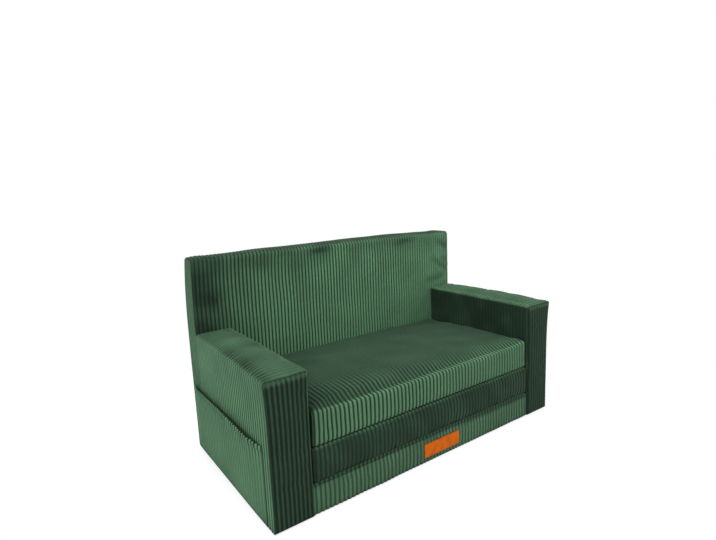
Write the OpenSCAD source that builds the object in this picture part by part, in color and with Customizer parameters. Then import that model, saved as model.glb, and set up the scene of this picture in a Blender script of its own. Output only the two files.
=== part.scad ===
// Child's fold-out foam sofa: three stacked seat blocks between two block arms and a full-width back.
// The two upper seat blocks fold forward on sewn fabric hinges and become a flat lounger.
// Millimetres, +Z up, front towards -Y, origin on the floor at the middle of the whole.

/* [Overall sizes] */
// width across the outer sides of the two arms
sofa_w = 900; // [700:10:1200]
// depth from the arm fronts to the rear of the back
sofa_d = 464; // [400:4:650]
// height of the back
back_h = 524; // [420:4:700]
// thickness of the back block, front to rear
back_t = 65; // [50:1:120]
// height of the arms
arm_h = 337; // [260:1:450]
// width of each arm
arm_w = 90; // [70:1:140]

/* [Seat blocks] */
// height of the fixed base block's top face
base_top = 71; // [50:1:110]
// height of the middle block, which lies face down in front when folded out
middle_h = 80; // [60:1:120]
// height of the top block at the middle of its crowned face
top_h = 88; // [60:1:120]
// how far the fronts of the seat blocks stand back from the arm fronts
seat_setback = 2; // [0:0.5:20]
// gap on each side of the middle block, beside the arms
middle_side_gap = 3.6; // [1:0.2:12]
// gap on each side of the top block, beside the arms
top_side_gap = 5; // [1:0.5:15]

/* [Cushion forms] */
// radius of the soft edges of the arms and back
block_edge_r = 7; // [4:1:25]
// radius of the soft edges of the seat blocks
seat_edge_r = 7.5; // [4:0.5:20]
// rise of the arm tops at their middle
arm_crown = 9; // [0:0.5:20]
// rise of the back's top edge at its middle
back_crown = 3; // [0:0.5:20]
// rise of the top block's face at its middle
seat_crown = 6; // [0:0.5:20]
// how far a block's sides are drawn in at their edges
draw_in = 2; // [0:0.2:6]
// extra softness of the top block's front upper edge
front_edge_drop = 15; // [0:1:30]
// how far the arms widen outwards at the top of their fronts
arm_flare_out = 5; // [0:0.5:10]
// how far the arms widen inwards at the top of their fronts
arm_flare_in = 3; // [0:0.5:4]
// how far the back's two upper corners are rounded down
shoulder_drop = 3; // [0:1:25]

/* [Covers and foam] */
// thickness of the cloth cover and wadding round each foam core
cover_t = 5; // [3:0.5:12]
// clearance between a foam core and its cover
foam_gap = 0.4; // [0.3:0.1:2]
// clearance between two blocks that lie against each other
block_gap = 0.35; // [0.3:0.05:2]

/* [Fold-out hinges] */
// distance of the front hinge line from the front faces of the base and middle blocks
front_hinge_offset = 1.2; // [1:0.1:4]
// distance of the rear hinge line from the rear faces of the middle and top blocks
rear_hinge_offset = 0.9; // [0.5:0.1:4]
// angle the middle block has turned; the top block turns back by the same
fold_angle = 0; // [0:5:180]

/* [Side pockets] */
// height of the pocket mouth above the floor
pocket_mouth_h = 178; // [120:2:260]
// distance of the pocket's front edge behind the arm front
pocket_front = 27; // [8:1:60]
// distance of the pocket's rear edge ahead of the back's rear face
pocket_rear = 15; // [8:1:60]
// how far the middle of the mouth stands away from the arm
pocket_slack = 8; // [6:0.5:20]
// thickness of the pocket cloth
pocket_t = 1.6; // [1:0.1:4]

/* [Label] */
// width of the blank leather label on the base front
label_w = 122; // [60:1:200]
// height of the label
label_h = 37; // [20:1:60]
// height of the label's lower edge above the floor
label_lift = 16; // [2:1:30]
// how far the label is sewn to the right of the middle
label_shift = 8; // [-100:1:100]
// thickness of the label
label_t = 1; // [0.6:0.1:2]

/* [Underside sheet] */
// thickness of the non-slip sheet, without its dots
sheet_t = 1.1; // [0.6:0.1:3]
// height of each rubber dot under the sheet
dot_h = 0.5; // [0.3:0.1:1.5]
// radius of each rubber dot
dot_r = 6; // [3:0.5:12]
// dots along the width on each side of the middle one
dots_side = 7; // [3:1:12]
// dots along the depth on each side of the middle one
dots_deep = 3; // [2:1:8]

/* [Zips] */
// share of the sofa's width that the zip in the back cover takes
back_zip_share = 0.71; // [0.4:0.01:0.85]
// share of a folding block's width that its zip takes
seat_zip_share = 0.76; // [0.4:0.01:0.85]
// height of the back zip above the floor
back_zip_h = 34; // [25:1:120]
// where the back slider stands along its zip, from its closed end
back_slide = 0; // [0:1:600]

/* [View] */
// which piece to draw

/* [Hidden] */
// one colour for each material
LIGHT_CORD = [0.33, 0.5, 0.37];
DARK_CORD = [0.2, 0.31, 0.24];
FOAM = [0.93, 0.88, 0.72];
TAN_LEATHER = [0.78, 0.37, 0.1];
TAN_THREAD = [0.9, 0.6, 0.3];
ZIP_TAPE = [0.12, 0.2, 0.15];
SLIDER_METAL = [0.25, 0.27, 0.26];
SHEET_CLOTH = [0.13, 0.14, 0.13];

// every piece that can be drawn on its own

// overrun of every cut
cut = 1;
// half of a length
half = 0.5;

// planes of the whole
front_y = -sofa_d * half;
rear_y = sofa_d * half;
back_front_y = rear_y - back_t;
arm_in_x = sofa_w * half - arm_w;
floor_gap = sheet_t + dot_h + block_gap;

// the fixed base block fills the space between the arms and the back
base_w = 2 * (arm_in_x - block_gap);
seat_front_y = front_y + seat_setback;
base_rear_y = back_front_y - block_gap;

// the middle block stands clear of the back so that its rear corner can swing
swing_gap = 1.1;
middle_w = 2 * (arm_in_x - middle_side_gap);
middle_z0 = base_top + block_gap;
middle_z1 = base_top + middle_h;
middle_rear_y = back_front_y - swing_gap;

// the top block lies on the middle one
top_w = 2 * (arm_in_x - top_side_gap);
top_z0 = middle_z1 + block_gap;
top_z1 = middle_z1 + top_h;
top_rear_y = middle_rear_y - block_gap;

// hinge lines; the front one is half way down the middle block's turned-over height
fold_y = seat_front_y - front_hinge_offset;
fold_z = middle_z1 * half;
unfold_y = middle_rear_y + rear_hinge_offset;
unfold_z = middle_z1;

// shares of a turn used for the rows round each soft edge, and of the end faces
edge_turns = [0, 28, 56, 80];
corner_turns = [0, 30, 60, 90];
end_shares = [0.66, 0.3];
// how flat a crowned face stays before it drops to its edges
crown_power = 2.6;
// how close to an edge the waterfall drop and the shoulder drop keep
edge_power = 7;
shoulder_power = 22;
// how a flare builds up towards the top, and what share of it is left at the rear
flare_power = 3;
rear_flare_share = 0.4;

// one cushion form's values, in the order the functions below read them
CENTRE = 0;
SIZE = 1;
EDGE = 2;
RISE = 3;
BULGE = 4;
DROP = 5;
ROWS = 6;
FLARE = 7;

// 1 at the middle of a face and 0 at its edges
function crown(t) = 1 - pow(min(1, abs(t)), crown_power);
// values from low to high in the given number of steps
function steps(low, high, count) = [for (i = [0 : count]) low + (high - low) * i / count];

// the outline of a block seen along X: core points with the way each one faces
function run_points(a, b, face, count) = [
    for (i = [1 : count - 1]) [a[0] + (b[0] - a[0]) * i / count, a[1] + (b[1] - a[1]) * i / count, face]
];
function corner_points(p, turn) = [for (t = corner_turns) [p[0], p[1], turn + t]];
function ring(core_y, core_z, rows) = concat(
    corner_points([core_y, core_z], 0),
    run_points([core_y, core_z], [-core_y, core_z], 90, rows[1]),
    corner_points([-core_y, core_z], 90),
    run_points([-core_y, core_z], [-core_y, -core_z], 180, rows[2]),
    corner_points([-core_y, -core_z], 180),
    run_points([-core_y, -core_z], [core_y, -core_z], 270, rows[1]),
    corner_points([core_y, -core_z], 270),
    run_points([core_y, -core_z], [core_y, core_z], 360, rows[2])
);

// stations along X: place, edge radius left at it, and share of the outline
function end_stations(hx, r) = concat(
    [for (s = end_shares) [hx, r * cos(edge_turns[3]), 1 - (1 - s)]],
    [for (i = [3 : -1 : 1]) [hx - r + r * sin(edge_turns[i]), r * cos(edge_turns[i]), 1]]
);
function stations(hx, r, count) = concat(
    [for (s = [for (i = [len(end_shares) - 1 : -1 : 0]) end_stations(hx, r)[i]]) [-s[0], s[1], s[2]]],
    [for (i = [2 : 4]) [-end_stations(hx, r)[i][0], end_stations(hx, r)[i][1], 1]],
    [for (x = steps(-(hx - r), hx - r, count)) [x, r, 1]],
    [for (i = [4 : -1 : 2]) [end_stations(hx, r)[i][0], end_stations(hx, r)[i][1], 1]],
    [for (i = [0 : len(end_shares) - 1]) end_stations(hx, r)[i]]
);

// moves a point of the plain rounded block out to its crowned place
function softened(p, f) = let (
    h = f[SIZE] * half,
    u = p[0] / h[0],
    v = p[1] / h[1],
    w = p[2] / h[2],
    drop = v < 0 && w > 0 ? f[DROP][0] * pow(abs(v), edge_power) * pow(w, edge_power) * crown(u) : 0,
    shoulder = w > 0 ? f[DROP][1] * pow(abs(u), shoulder_power) * w : 0,
    rise = w > 0 ? f[RISE] * w * crown(u) * crown(v) : 0,
    front_share = rear_flare_share + (1 - rear_flare_share) * (1 - v) * half,
    flare = w > 0 ? f[FLARE][u > 0 ? 1 : 0] * pow(w, flare_power) * front_share : 0
) f[CENTRE] + [
    p[0] + u * (f[BULGE][0][u > 0 ? 1 : 0] * crown(v) * crown(w) + flare),
    p[1] + f[BULGE][1][v > 0 ? 1 : 0] * v * crown(u) * crown(w) + drop,
    p[2] + rise - drop - shoulder
];

function form_points(f) = let (
    r = f[EDGE],
    h = f[SIZE] * half,
    outline = ring(h[1] - r, h[2] - r, f[ROWS])
) [
    for (s = stations(h[0], r, f[ROWS][0])) for (q = outline)
        softened([s[0], s[2] * (q[0] + s[1] * cos(q[2])), s[2] * (q[1] + s[1] * sin(q[2]))], f)
];

// a closed crowned block; its edges stay in place and its faces swell
module crowned_block(f) {
    around = len(ring(1, 1, f[ROWS]));
    skin = form_points(f);
    count = len(skin) / around;
    last = len(skin) - around;
    end = [f[SIZE][0] * half, 0, 0];
    points = concat(skin, [softened(-end, f), softened(end, f)]);
    sides = [
        for (s = [0 : count - 2]) for (i = [0 : around - 1])
            let (j = (i + 1) % around, a = s * around, b = a + around)
            each [[a + i, b + i, b + j], [a + i, b + j, a + j]]
    ];
    caps = [
        for (i = [0 : around - 1])
            let (j = (i + 1) % around)
            each [[i, j, len(skin)], [last + j, last + i, len(skin) + 1]]
    ];
    polyhedron(points = points, faces = concat(sides, caps));
}

// a box between two corners
module box(low, high) {
    translate(low) cube(high - low);
}

// centre and size of a box between two corners
function middle_of(low, high) = (low + high) * half;

// one crowned cover with the room for its foam core left inside
module cover(low, high, rise, bulge, drops, rows, edge, room, flare = [0, 0]) {
    f = [middle_of(low, high), high - low, edge, rise, bulge, drops, rows, flare];
    difference() {
        crowned_block(f);
        box(room[0], room[1]);
    }
}
cover_wall = cover_t + draw_in;
cover_walls = [cover_wall, cover_wall, cover_wall];
foam_gaps = [foam_gap, foam_gap, foam_gap];

// the room inside a cover; a soft front edge takes extra wadding in front of and above the foam
function room(low, high, front_pad, top_pad) =
    [low + cover_walls + [0, front_pad, 0], high - cover_walls - [0, 0, top_pad]];

// the foam core inside one cover
module foam(space) {
    box(space[0] + foam_gaps, space[1] - foam_gaps);
}

// corners of the six blocks, at the edges of their faces
base_low = [-base_w * half, seat_front_y + draw_in, floor_gap];
base_high = [base_w * half, base_rear_y, base_top];
back_low = [-sofa_w * half, back_front_y, floor_gap];
back_high = [sofa_w * half, rear_y - draw_in, back_h - back_crown];
arm_low = [arm_in_x, front_y + draw_in, floor_gap];
arm_high = [sofa_w * half, back_front_y - block_gap, arm_h - arm_crown];
middle_low = [-middle_w * half, seat_front_y + draw_in, middle_z0];
middle_high = [middle_w * half, middle_rear_y, middle_z1 - draw_in];
top_low = [-top_w * half, seat_front_y + draw_in, top_z0];
top_high = [top_w * half, top_rear_y, top_z1 - seat_crown];

// swells of the low and high faces along X and Y; faces that meet a neighbour stay flat
seat_bulge = [[0, 0], [draw_in, 0]];
back_bulge = [[0, 0], [0, draw_in]];
arm_bulge = [[0, 0], [draw_in, 0]];

// the rooms for the foam cores; the top block's front edge has the thickest wadding
edge_front_pad = front_edge_drop * 0.7;
edge_top_pad = front_edge_drop * 0.3;
base_room = room(base_low, base_high, 0, 0);
back_room = room(back_low, back_high, 0, shoulder_drop * half);
arm_room = room(arm_low, arm_high, 0, 0);
middle_room = room(middle_low, middle_high, 0, 0);
top_room = room(top_low, top_high, edge_front_pad, edge_top_pad);

// rows along X, front to rear and up for each form
SEAT_ROWS = [14, 9, 4];
BASE_ROWS = [12, 7, 3];
BACK_ROWS = [14, 4, 9];
ARM_ROWS = [5, 10, 8];

module base_cover() {
    color(LIGHT_CORD) cover(base_low, base_high, 0, seat_bulge, [0, 0], BASE_ROWS, seat_edge_r,
                            base_room);
}
module base_foam() {
    color(FOAM) foam(base_room);
}

module back_cover() {
    color(LIGHT_CORD) difference() {
        cover(back_low, back_high, back_crown, back_bulge, [0, shoulder_drop], BACK_ROWS, block_edge_r,
              back_room);
        zip_channel(back_zip_len, [0, rear_y - draw_in * half, back_zip_h]);
    }
}
module back_foam() {
    color(FOAM) foam(back_room);
}

module arm_cover() {
    cover(arm_low, arm_high, arm_crown, arm_bulge, [0, 0], ARM_ROWS, block_edge_r, arm_room,
          [arm_flare_in, arm_flare_out]);
}
module right_arm_cover() {
    color(LIGHT_CORD) arm_cover();
}
module left_arm_cover() {
    color(LIGHT_CORD) mirror([1, 0, 0]) arm_cover();
}
module right_arm_foam() {
    color(FOAM) foam(arm_room);
}
module left_arm_foam() {
    color(FOAM) mirror([1, 0, 0]) foam(arm_room);
}

// side pockets: one cloth panel sewn down at the front, rear and bottom, open along its top
pocket_y0 = front_y + pocket_front;
pocket_y1 = rear_y - pocket_rear;
pocket_x = sofa_w * half + block_gap;
pocket_z0 = 2 * block_edge_r;
pocket_hem_h = 12;
pocket_hem_t = 1.2;
// how far the slack takes to build up from each sewn edge, along the mouth and up the pocket
pocket_ramp_shares = [0, 0.04, 0.17, 0.83, 0.96, 1];
pocket_slack_shares = [0, 0.25, 1, 1, 0.25, 0];

// rows from the sewn bottom to the hemmed mouth: height, share of the slack, extra thickness
pocket_low_z = 60;
pocket_hem_z = pocket_mouth_h - pocket_hem_h;
pocket_rows = [
    [pocket_z0, 0, 0],
    [pocket_low_z, 1, 0],
    [pocket_hem_z, 1, 0],
    [pocket_hem_z + pocket_hem_t, 1, pocket_hem_t],
    [pocket_mouth_h, 1, pocket_hem_t]
];
// one row's points: along the outer side to the rear, then along the inner side to the front
function pocket_point(row, i, thick) = [
    pocket_x + thick + row[1] * pocket_slack * pocket_slack_shares[i],
    pocket_y0 + (pocket_y1 - pocket_y0) * pocket_ramp_shares[i],
    row[0]
];
function pocket_row(row) = let (last = len(pocket_ramp_shares) - 1) concat(
    [for (i = [0 : last]) pocket_point(row, i, pocket_t + row[2])],
    [for (i = [last : -1 : 0]) pocket_point(row, i, 0)]
);
module right_pocket_panel() {
    side = len(pocket_ramp_shares);
    around = 2 * side;
    top = (len(pocket_rows) - 1) * around;
    ends = [for (i = [0 : side - 2]) each [
        [i, i + 1, around - 2 - i, around - 1 - i],
        [top + around - 1 - i, top + around - 2 - i, top + i + 1, top + i]
    ]];
    walls = [
        for (s = [0 : len(pocket_rows) - 2]) for (i = [0 : around - 1])
            let (j = (i + 1) % around, a = s * around, b = a + around)
            each [[a + i, b + i, b + j], [a + i, b + j, a + j]]
    ];
    polyhedron(points = [for (row = pocket_rows) each pocket_row(row)], faces = concat(walls, ends));
}
module right_pocket() {
    color(LIGHT_CORD) right_pocket_panel();
}
module left_pocket() {
    color(LIGHT_CORD) mirror([1, 0, 0]) right_pocket_panel();
}

// blank leather label on the base front, with a line of edge stitching
label_gap = 0.05;
label_y = seat_front_y - label_gap;
label_corner_r = 3;
stitch_inset = 3;
stitch_w = 0.9;
stitch_h = 0.35;
module label_shape(inset) {
    w = label_w * half - inset - label_corner_r;
    h = label_h * half - inset - label_corner_r;
    square([2 * w, 2 * (h + label_corner_r)], center = true);
    square([2 * (w + label_corner_r), 2 * h], center = true);
    for (sx = [-1, 1], sz = [-1, 1]) {
        translate([sx * w, sz * h]) circle(r = label_corner_r, $fn = 32);
    }
}
module label_at(y) {
    translate([label_shift, y, label_lift + label_h * half]) rotate([90, 0, 0]) children();
}
module label_patch() {
    color(TAN_LEATHER) label_at(label_y) linear_extrude(label_t) label_shape(0);
}
module label_stitching() {
    color(TAN_THREAD) label_at(label_y - label_t) linear_extrude(stitch_h) difference() {
        label_shape(stitch_inset);
        label_shape(stitch_inset + stitch_w);
    }
}

// non-slip sheet under the fixed blocks, with rubber dots that stand on the floor
sheet_inset = 8;
dot_edge = dot_r * 3;
module underside_sheet() {
    low = [-sofa_w * half + sheet_inset, front_y + sheet_inset, dot_h];
    high = [sofa_w * half - sheet_inset, rear_y - sheet_inset, dot_h + sheet_t];
    color(SHEET_CLOTH) union() {
        box(low, high);
        for (i = [-dots_side : dots_side], j = [-dots_deep : dots_deep]) {
            translate([i * (high[0] - dot_edge) / dots_side, j * (high[1] - dot_edge) / dots_deep, 0])
                cylinder(r = dot_r, h = dot_h + sheet_t * half, $fn = 32);
        }
    }
}

// zips: a tape with one coil bead and an end stop at each end, sunk in a channel of its cover
zip_tape_w = 24;
zip_tape_t = 0.8;
zip_bead_w = 5;
zip_bead_t = 1.6;
zip_channel_w = 26;
zip_channel_deep = 4.2;
zip_stop_w = 7;
zip_stop_len = 3;
zip_floor_gap = 0.3;
slider_len = 11;
slider_w = 9.4;
slider_gap = 0.25;
slider_wall = 0.8;
// the channel's mouth lies on the rear plane given by its place
module zip_channel(length, place) {
    translate(place) box([-length * half - zip_stop_len, -zip_channel_deep, -zip_channel_w * half],
                         [length * half + zip_stop_len, cut * 2, zip_channel_w * half]);
}
module zip(length, place) {
    translate(place + [0, zip_floor_gap - zip_channel_deep, 0]) {
        box([-length * half, 0, -zip_tape_w * half], [length * half, zip_tape_t, zip_tape_w * half]);
        box([-length * half, 0, -zip_bead_w * half],
            [length * half, zip_tape_t + zip_bead_t, zip_bead_w * half]);
        for (s = [-1, 1]) {
            x = s * (length * half - zip_stop_len * half);
            box([x - zip_stop_len * half, 0, -zip_stop_w * half],
                [x + zip_stop_len * half, zip_tape_t + zip_bead_t + slider_gap, zip_stop_w * half]);
        }
    }
}
// the slider straddles the bead; it starts against the stop at the +X end
function slider_x(length) = length * half - zip_stop_len - slider_gap - slider_len * half;
module zip_slider(length, place) {
    base_y = zip_floor_gap - zip_channel_deep + zip_tape_t + slider_gap;
    groove_w = zip_bead_w * half + slider_gap;
    translate(place + [slider_x(length), base_y, 0]) difference() {
        box([-slider_len * half, 0, -slider_w * half],
            [slider_len * half, zip_bead_t + slider_wall, slider_w * half]);
        box([-slider_len * half - cut, -cut, -groove_w], [slider_len * half + cut, zip_bead_t, groove_w]);
    }
}

back_zip_len = sofa_w * back_zip_share;
seat_zip_len = middle_w * seat_zip_share;
back_zip_place = [0, rear_y - draw_in * half, back_zip_h];
middle_zip_place = [0, middle_rear_y, (middle_z0 + middle_z1) * half];
top_zip_place = [0, top_rear_y, (top_z0 + top_high[2]) * half];
module back_zip() {
    color(ZIP_TAPE) zip(back_zip_len, back_zip_place);
}
module back_zip_slider() {
    color(SLIDER_METAL) translate([-back_slide, 0, 0]) zip_slider(back_zip_len, back_zip_place);
}

// turns a piece with the middle block
module with_middle() {
    translate([0, fold_y, fold_z]) rotate([fold_angle, 0, 0]) translate([0, -fold_y, -fold_z]) children();
}
// carries a piece level with the top block
module with_top() {
    with_middle() translate([0, unfold_y, unfold_z]) rotate([-fold_angle, 0, 0])
        translate([0, -unfold_y, -unfold_z]) children();
}

module middle_cover() {
    color(DARK_CORD) with_middle() difference() {
        cover(middle_low, middle_high, draw_in, seat_bulge, [draw_in, 0], SEAT_ROWS, seat_edge_r,
              middle_room);
        zip_channel(seat_zip_len, middle_zip_place);
    }
}
module middle_foam() {
    color(FOAM) with_middle() foam(middle_room);
}
module middle_zip() {
    color(ZIP_TAPE) with_middle() zip(seat_zip_len, middle_zip_place);
}
module middle_zip_slider() {
    color(SLIDER_METAL) with_middle() zip_slider(seat_zip_len, middle_zip_place);
}

module top_cover() {
    color(LIGHT_CORD) with_top() difference() {
        cover(top_low, top_high, seat_crown, seat_bulge, [front_edge_drop, 0], SEAT_ROWS, seat_edge_r,
              top_room);
        zip_channel(seat_zip_len, top_zip_place);
    }
}
module top_foam() {
    color(FOAM) with_top() foam(top_room);
}
module top_zip() {
    color(ZIP_TAPE) with_top() zip(seat_zip_len, top_zip_place);
}
module top_zip_slider() {
    color(SLIDER_METAL) with_top() zip_slider(seat_zip_len, top_zip_place);
}

// sewn fabric hinges: each lies in the groove between the soft edges of the two blocks it joins
strip_deep_share = 0.21;
strip_back_share = 0.19;
strip_h_share = 0.28;
strip_deep = seat_edge_r * strip_deep_share;
strip_h = seat_edge_r * strip_h_share;
strip_end = 14;
rear_strip_back = seat_edge_r * strip_back_share;
front_strip_back = draw_in + rear_strip_back;
module hinge_strip(length, y, z) {
    translate([0, y, z]) {
        box([-length * half, 0, -strip_h * half], [length * half, strip_deep, strip_h * half]);
    }
}
module front_hinge_strip() {
    color(DARK_CORD) hinge_strip(middle_w - 2 * strip_end, seat_front_y + front_strip_back,
                                 (base_top + middle_z0) * half);
}
module rear_hinge_strip() {
    color(DARK_CORD) with_top() hinge_strip(top_w - 2 * strip_end, top_rear_y - rear_strip_back - strip_deep,
                                               unfold_z + block_gap * half);
}

base_foam();
base_cover();
back_foam();
back_cover();
left_arm_foam();
left_arm_cover();
right_arm_foam();
right_arm_cover();
left_pocket();
right_pocket();
label_patch();
label_stitching();
underside_sheet();
back_zip();
back_zip_slider();
middle_foam();
middle_cover();
middle_zip();
middle_zip_slider();
front_hinge_strip();
top_foam();
top_cover();
top_zip();
top_zip_slider();
rear_hinge_strip();
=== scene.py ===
import math

import bmesh
import bpy
import numpy as np
from mathutils import Matrix, Vector


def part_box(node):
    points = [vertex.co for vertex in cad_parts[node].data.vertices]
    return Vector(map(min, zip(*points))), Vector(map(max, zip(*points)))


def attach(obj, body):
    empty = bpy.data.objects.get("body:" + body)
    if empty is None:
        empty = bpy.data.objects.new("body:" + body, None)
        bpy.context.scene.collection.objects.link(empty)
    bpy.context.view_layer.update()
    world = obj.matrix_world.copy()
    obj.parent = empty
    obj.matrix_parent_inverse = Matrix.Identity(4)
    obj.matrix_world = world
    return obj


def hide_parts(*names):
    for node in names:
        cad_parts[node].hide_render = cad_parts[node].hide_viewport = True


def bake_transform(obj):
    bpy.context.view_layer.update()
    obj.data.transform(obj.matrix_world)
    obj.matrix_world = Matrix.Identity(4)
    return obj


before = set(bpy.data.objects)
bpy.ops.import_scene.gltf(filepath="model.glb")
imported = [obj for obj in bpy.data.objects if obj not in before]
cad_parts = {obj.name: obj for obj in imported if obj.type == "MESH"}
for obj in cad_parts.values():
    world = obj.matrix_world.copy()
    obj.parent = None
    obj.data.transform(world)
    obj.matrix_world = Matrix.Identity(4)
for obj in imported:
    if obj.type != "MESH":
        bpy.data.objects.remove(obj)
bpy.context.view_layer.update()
bpy.ops.object.select_all(action="DESELECT")

# Studio: a white floor and backdrop, a large soft lamp high on the left, a weak one on the right and one
# above. The floor shows white to the camera and keeps the sofa's soft shadow.
scene = bpy.context.scene
scene.view_settings.view_transform = "Standard"

camera_yaw, camera_pitch, camera_roll = math.radians(35.163), math.radians(9.511), math.radians(-2.412)
camera_place = (-0.8053, -1.0613, 0.6780)
focal_share = 495.4 / 716
ahead = Vector((math.sin(camera_yaw) * math.cos(camera_pitch),
                math.cos(camera_yaw) * math.cos(camera_pitch), -math.sin(camera_pitch)))
level_right = Vector((math.cos(camera_yaw), -math.sin(camera_yaw), 0))
level_up = level_right.cross(ahead)
right = math.cos(camera_roll) * level_right + math.sin(camera_roll) * level_up
up = -math.sin(camera_roll) * level_right + math.cos(camera_roll) * level_up
camera_data = bpy.data.cameras.new("studio_camera")
camera_data.sensor_fit = "HORIZONTAL"
camera_data.sensor_width = 36
camera_data.lens = focal_share * camera_data.sensor_width
camera = bpy.data.objects.new("studio_camera", camera_data)
scene.collection.objects.link(camera)
camera.matrix_world = Matrix.Translation(camera_place) @ Matrix((right, up, -ahead)).transposed().to_4x4()
scene.camera = camera


def softbox(name, place, target, size, watts):
    lamp_data = bpy.data.lights.new(name, "AREA")
    lamp_data.shape = "DISK"
    lamp_data.size = size
    lamp_data.energy = watts
    lamp = bpy.data.objects.new(name, lamp_data)
    scene.collection.objects.link(lamp)
    lamp.location = place
    lamp.rotation_euler = (Vector(target) - Vector(place)).to_track_quat("-Z", "Y").to_euler()


lamp_target = (0, 0, 0.2)
softbox("key_softbox", (-1.9, -1.5, 2.6), lamp_target, 1.8, 46)
softbox("fill_softbox", (2.2, -2.2, 1.6), lamp_target, 2.2, 14)
softbox("top_softbox", (0.2, 0.3, 2.9), lamp_target, 2.0, 20)


def join(tree, shader, given):
    """Sets each input of a shader node to a value, or joins it to another node's output."""
    for socket, value in given.items():
        if isinstance(value, bpy.types.NodeSocket):
            tree.links.new(value, shader.inputs[socket])
        else:
            shader.inputs[socket].default_value = value


def add(tree, kind, given={}, out=0, **settings):
    """A new shader node with its settings and inputs; gives the output that is used."""
    shader = tree.nodes.new("ShaderNode" + kind)
    for setting, value in settings.items():
        setattr(shader, setting, value)
    join(tree, shader, given)
    return shader.outputs[out] if shader.outputs else None


def calculated(tree, operation, *given):
    """A sum of one to three values or outputs."""
    return add(tree, "Math", dict(enumerate(given)), operation=operation)


def new_paint(name):
    paint = bpy.data.materials.new(name)
    paint.use_nodes = True
    return paint, paint.node_tree


plain_white = (1, 1, 1, 1)
room_light = bpy.data.worlds.new("studio_room")
room_light.use_nodes = True
scene.world = room_light
room = room_light.node_tree
room.nodes.clear()
rays = add(room, "LightPath").node.outputs
seen_ray = calculated(room, "MAXIMUM", calculated(room, "MAXIMUM", rays["Is Camera Ray"], rays["Is Glossy Ray"]),
                      rays["Is Transmission Ray"])
ambient = add(room, "Background", {"Color": plain_white, "Strength": 0.42})
seen = add(room, "Background", {"Color": plain_white, "Strength": 1.0})
add(room, "OutputWorld", {0: add(room, "MixShader", {0: seen_ray, 1: ambient, 2: seen})})

bpy.ops.mesh.primitive_circle_add(vertices=64, radius=14, fill_type="NGON", location=(0, 0, 0))
studio_floor = bpy.context.object
studio_floor.name = "studio_floor"
floor_paint, tree = new_paint("white_floor")
tree.nodes.clear()
bounce = add(tree, "BsdfDiffuse", {"Color": (0.8, 0.8, 0.8, 1)})
shaded = add(tree, "BsdfDiffuse", {"Color": (0.55, 0.55, 0.55, 1)})
white = add(tree, "Emission", {"Color": plain_white, "Strength": 0.66})
from_middle = add(tree, "VectorMath", {0: add(tree, "TexCoord", out="Object")}, out="Value", operation="LENGTH")
fade = add(tree, "MapRange", {"Value": from_middle, "From Min": 0.55, "From Max": 1.0},
           interpolation_type="SMOOTHSTEP")
faded = add(tree, "MixShader", {0: fade, 1: add(tree, "AddShader", {0: shaded, 1: white}),
                                2: add(tree, "BsdfTransparent")})
camera_ray = add(tree, "LightPath", out="Is Camera Ray")
add(tree, "OutputMaterial", {0: add(tree, "MixShader", {0: camera_ray, 1: bounce, 2: faded})})
studio_floor.data.materials.append(floor_paint)
bpy.ops.object.select_all(action="DESELECT")

# Back: one foam block in a wide-ribbed corduroy cover. The ribs stand upright on the front, run over the
# slightly arched top and down the rear; a side strip closes each end. It is sewn to the arms and the base.
rib_pitch = 0.01125
rib_depth = 0.0023
rib_steps = 8
full_nap_sheen = 0.85
sofa_width, sofa_depth, back_height, back_thick = 0.900, 0.464, 0.524, 0.065
front_plane, rear_plane = -sofa_depth / 2, sofa_depth / 2
floor_clear = 0.0014
arm_width, arm_height, arm_crown = 0.090, 0.337, 0.009
pocket_front, pocket_rear, pocket_mouth = front_plane + 0.027, rear_plane - 0.015, 0.182


def crown(t, power=2.6):
    return 1 - np.minimum(1, np.abs(t)) ** power


def ease(value, start, end):
    """0 before start, 1 after end, and smooth between them."""
    t = np.clip((value - start) / (end - start), 0, 1)
    return t * t * (3 - 2 * t)


def rib_form(place, pitch):
    """Height of the cord at a place across the ribs, 0 in a groove and 1 on a ridge."""
    phase = np.abs(2 * np.mod(place / pitch, 1) - 1)
    return 1 - phase ** 2.3


def drift(points, seed, size, waves=9):
    """A smooth field between about -1 and 1 that wanders over the cloth."""
    rng = np.random.default_rng(seed)
    field = np.zeros(len(points))
    for _ in range(waves):
        way = rng.normal(size=3)
        way /= np.linalg.norm(way)
        field += np.sin(points @ way * (2 * math.pi / size) * rng.uniform(0.6, 1.7) + rng.uniform(0, 6.3))
    return field / math.sqrt(waves)


slot_rows = (-0.0088, -0.0074, -0.0066, -0.0058, -0.0050, -0.0025, 0, 0.0025, 0.0050, 0.0058, 0.0066, 0.0074,
             0.0088)
mouth_rows = (-0.006, -0.003, -0.001, 0.001, 0.003)


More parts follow.
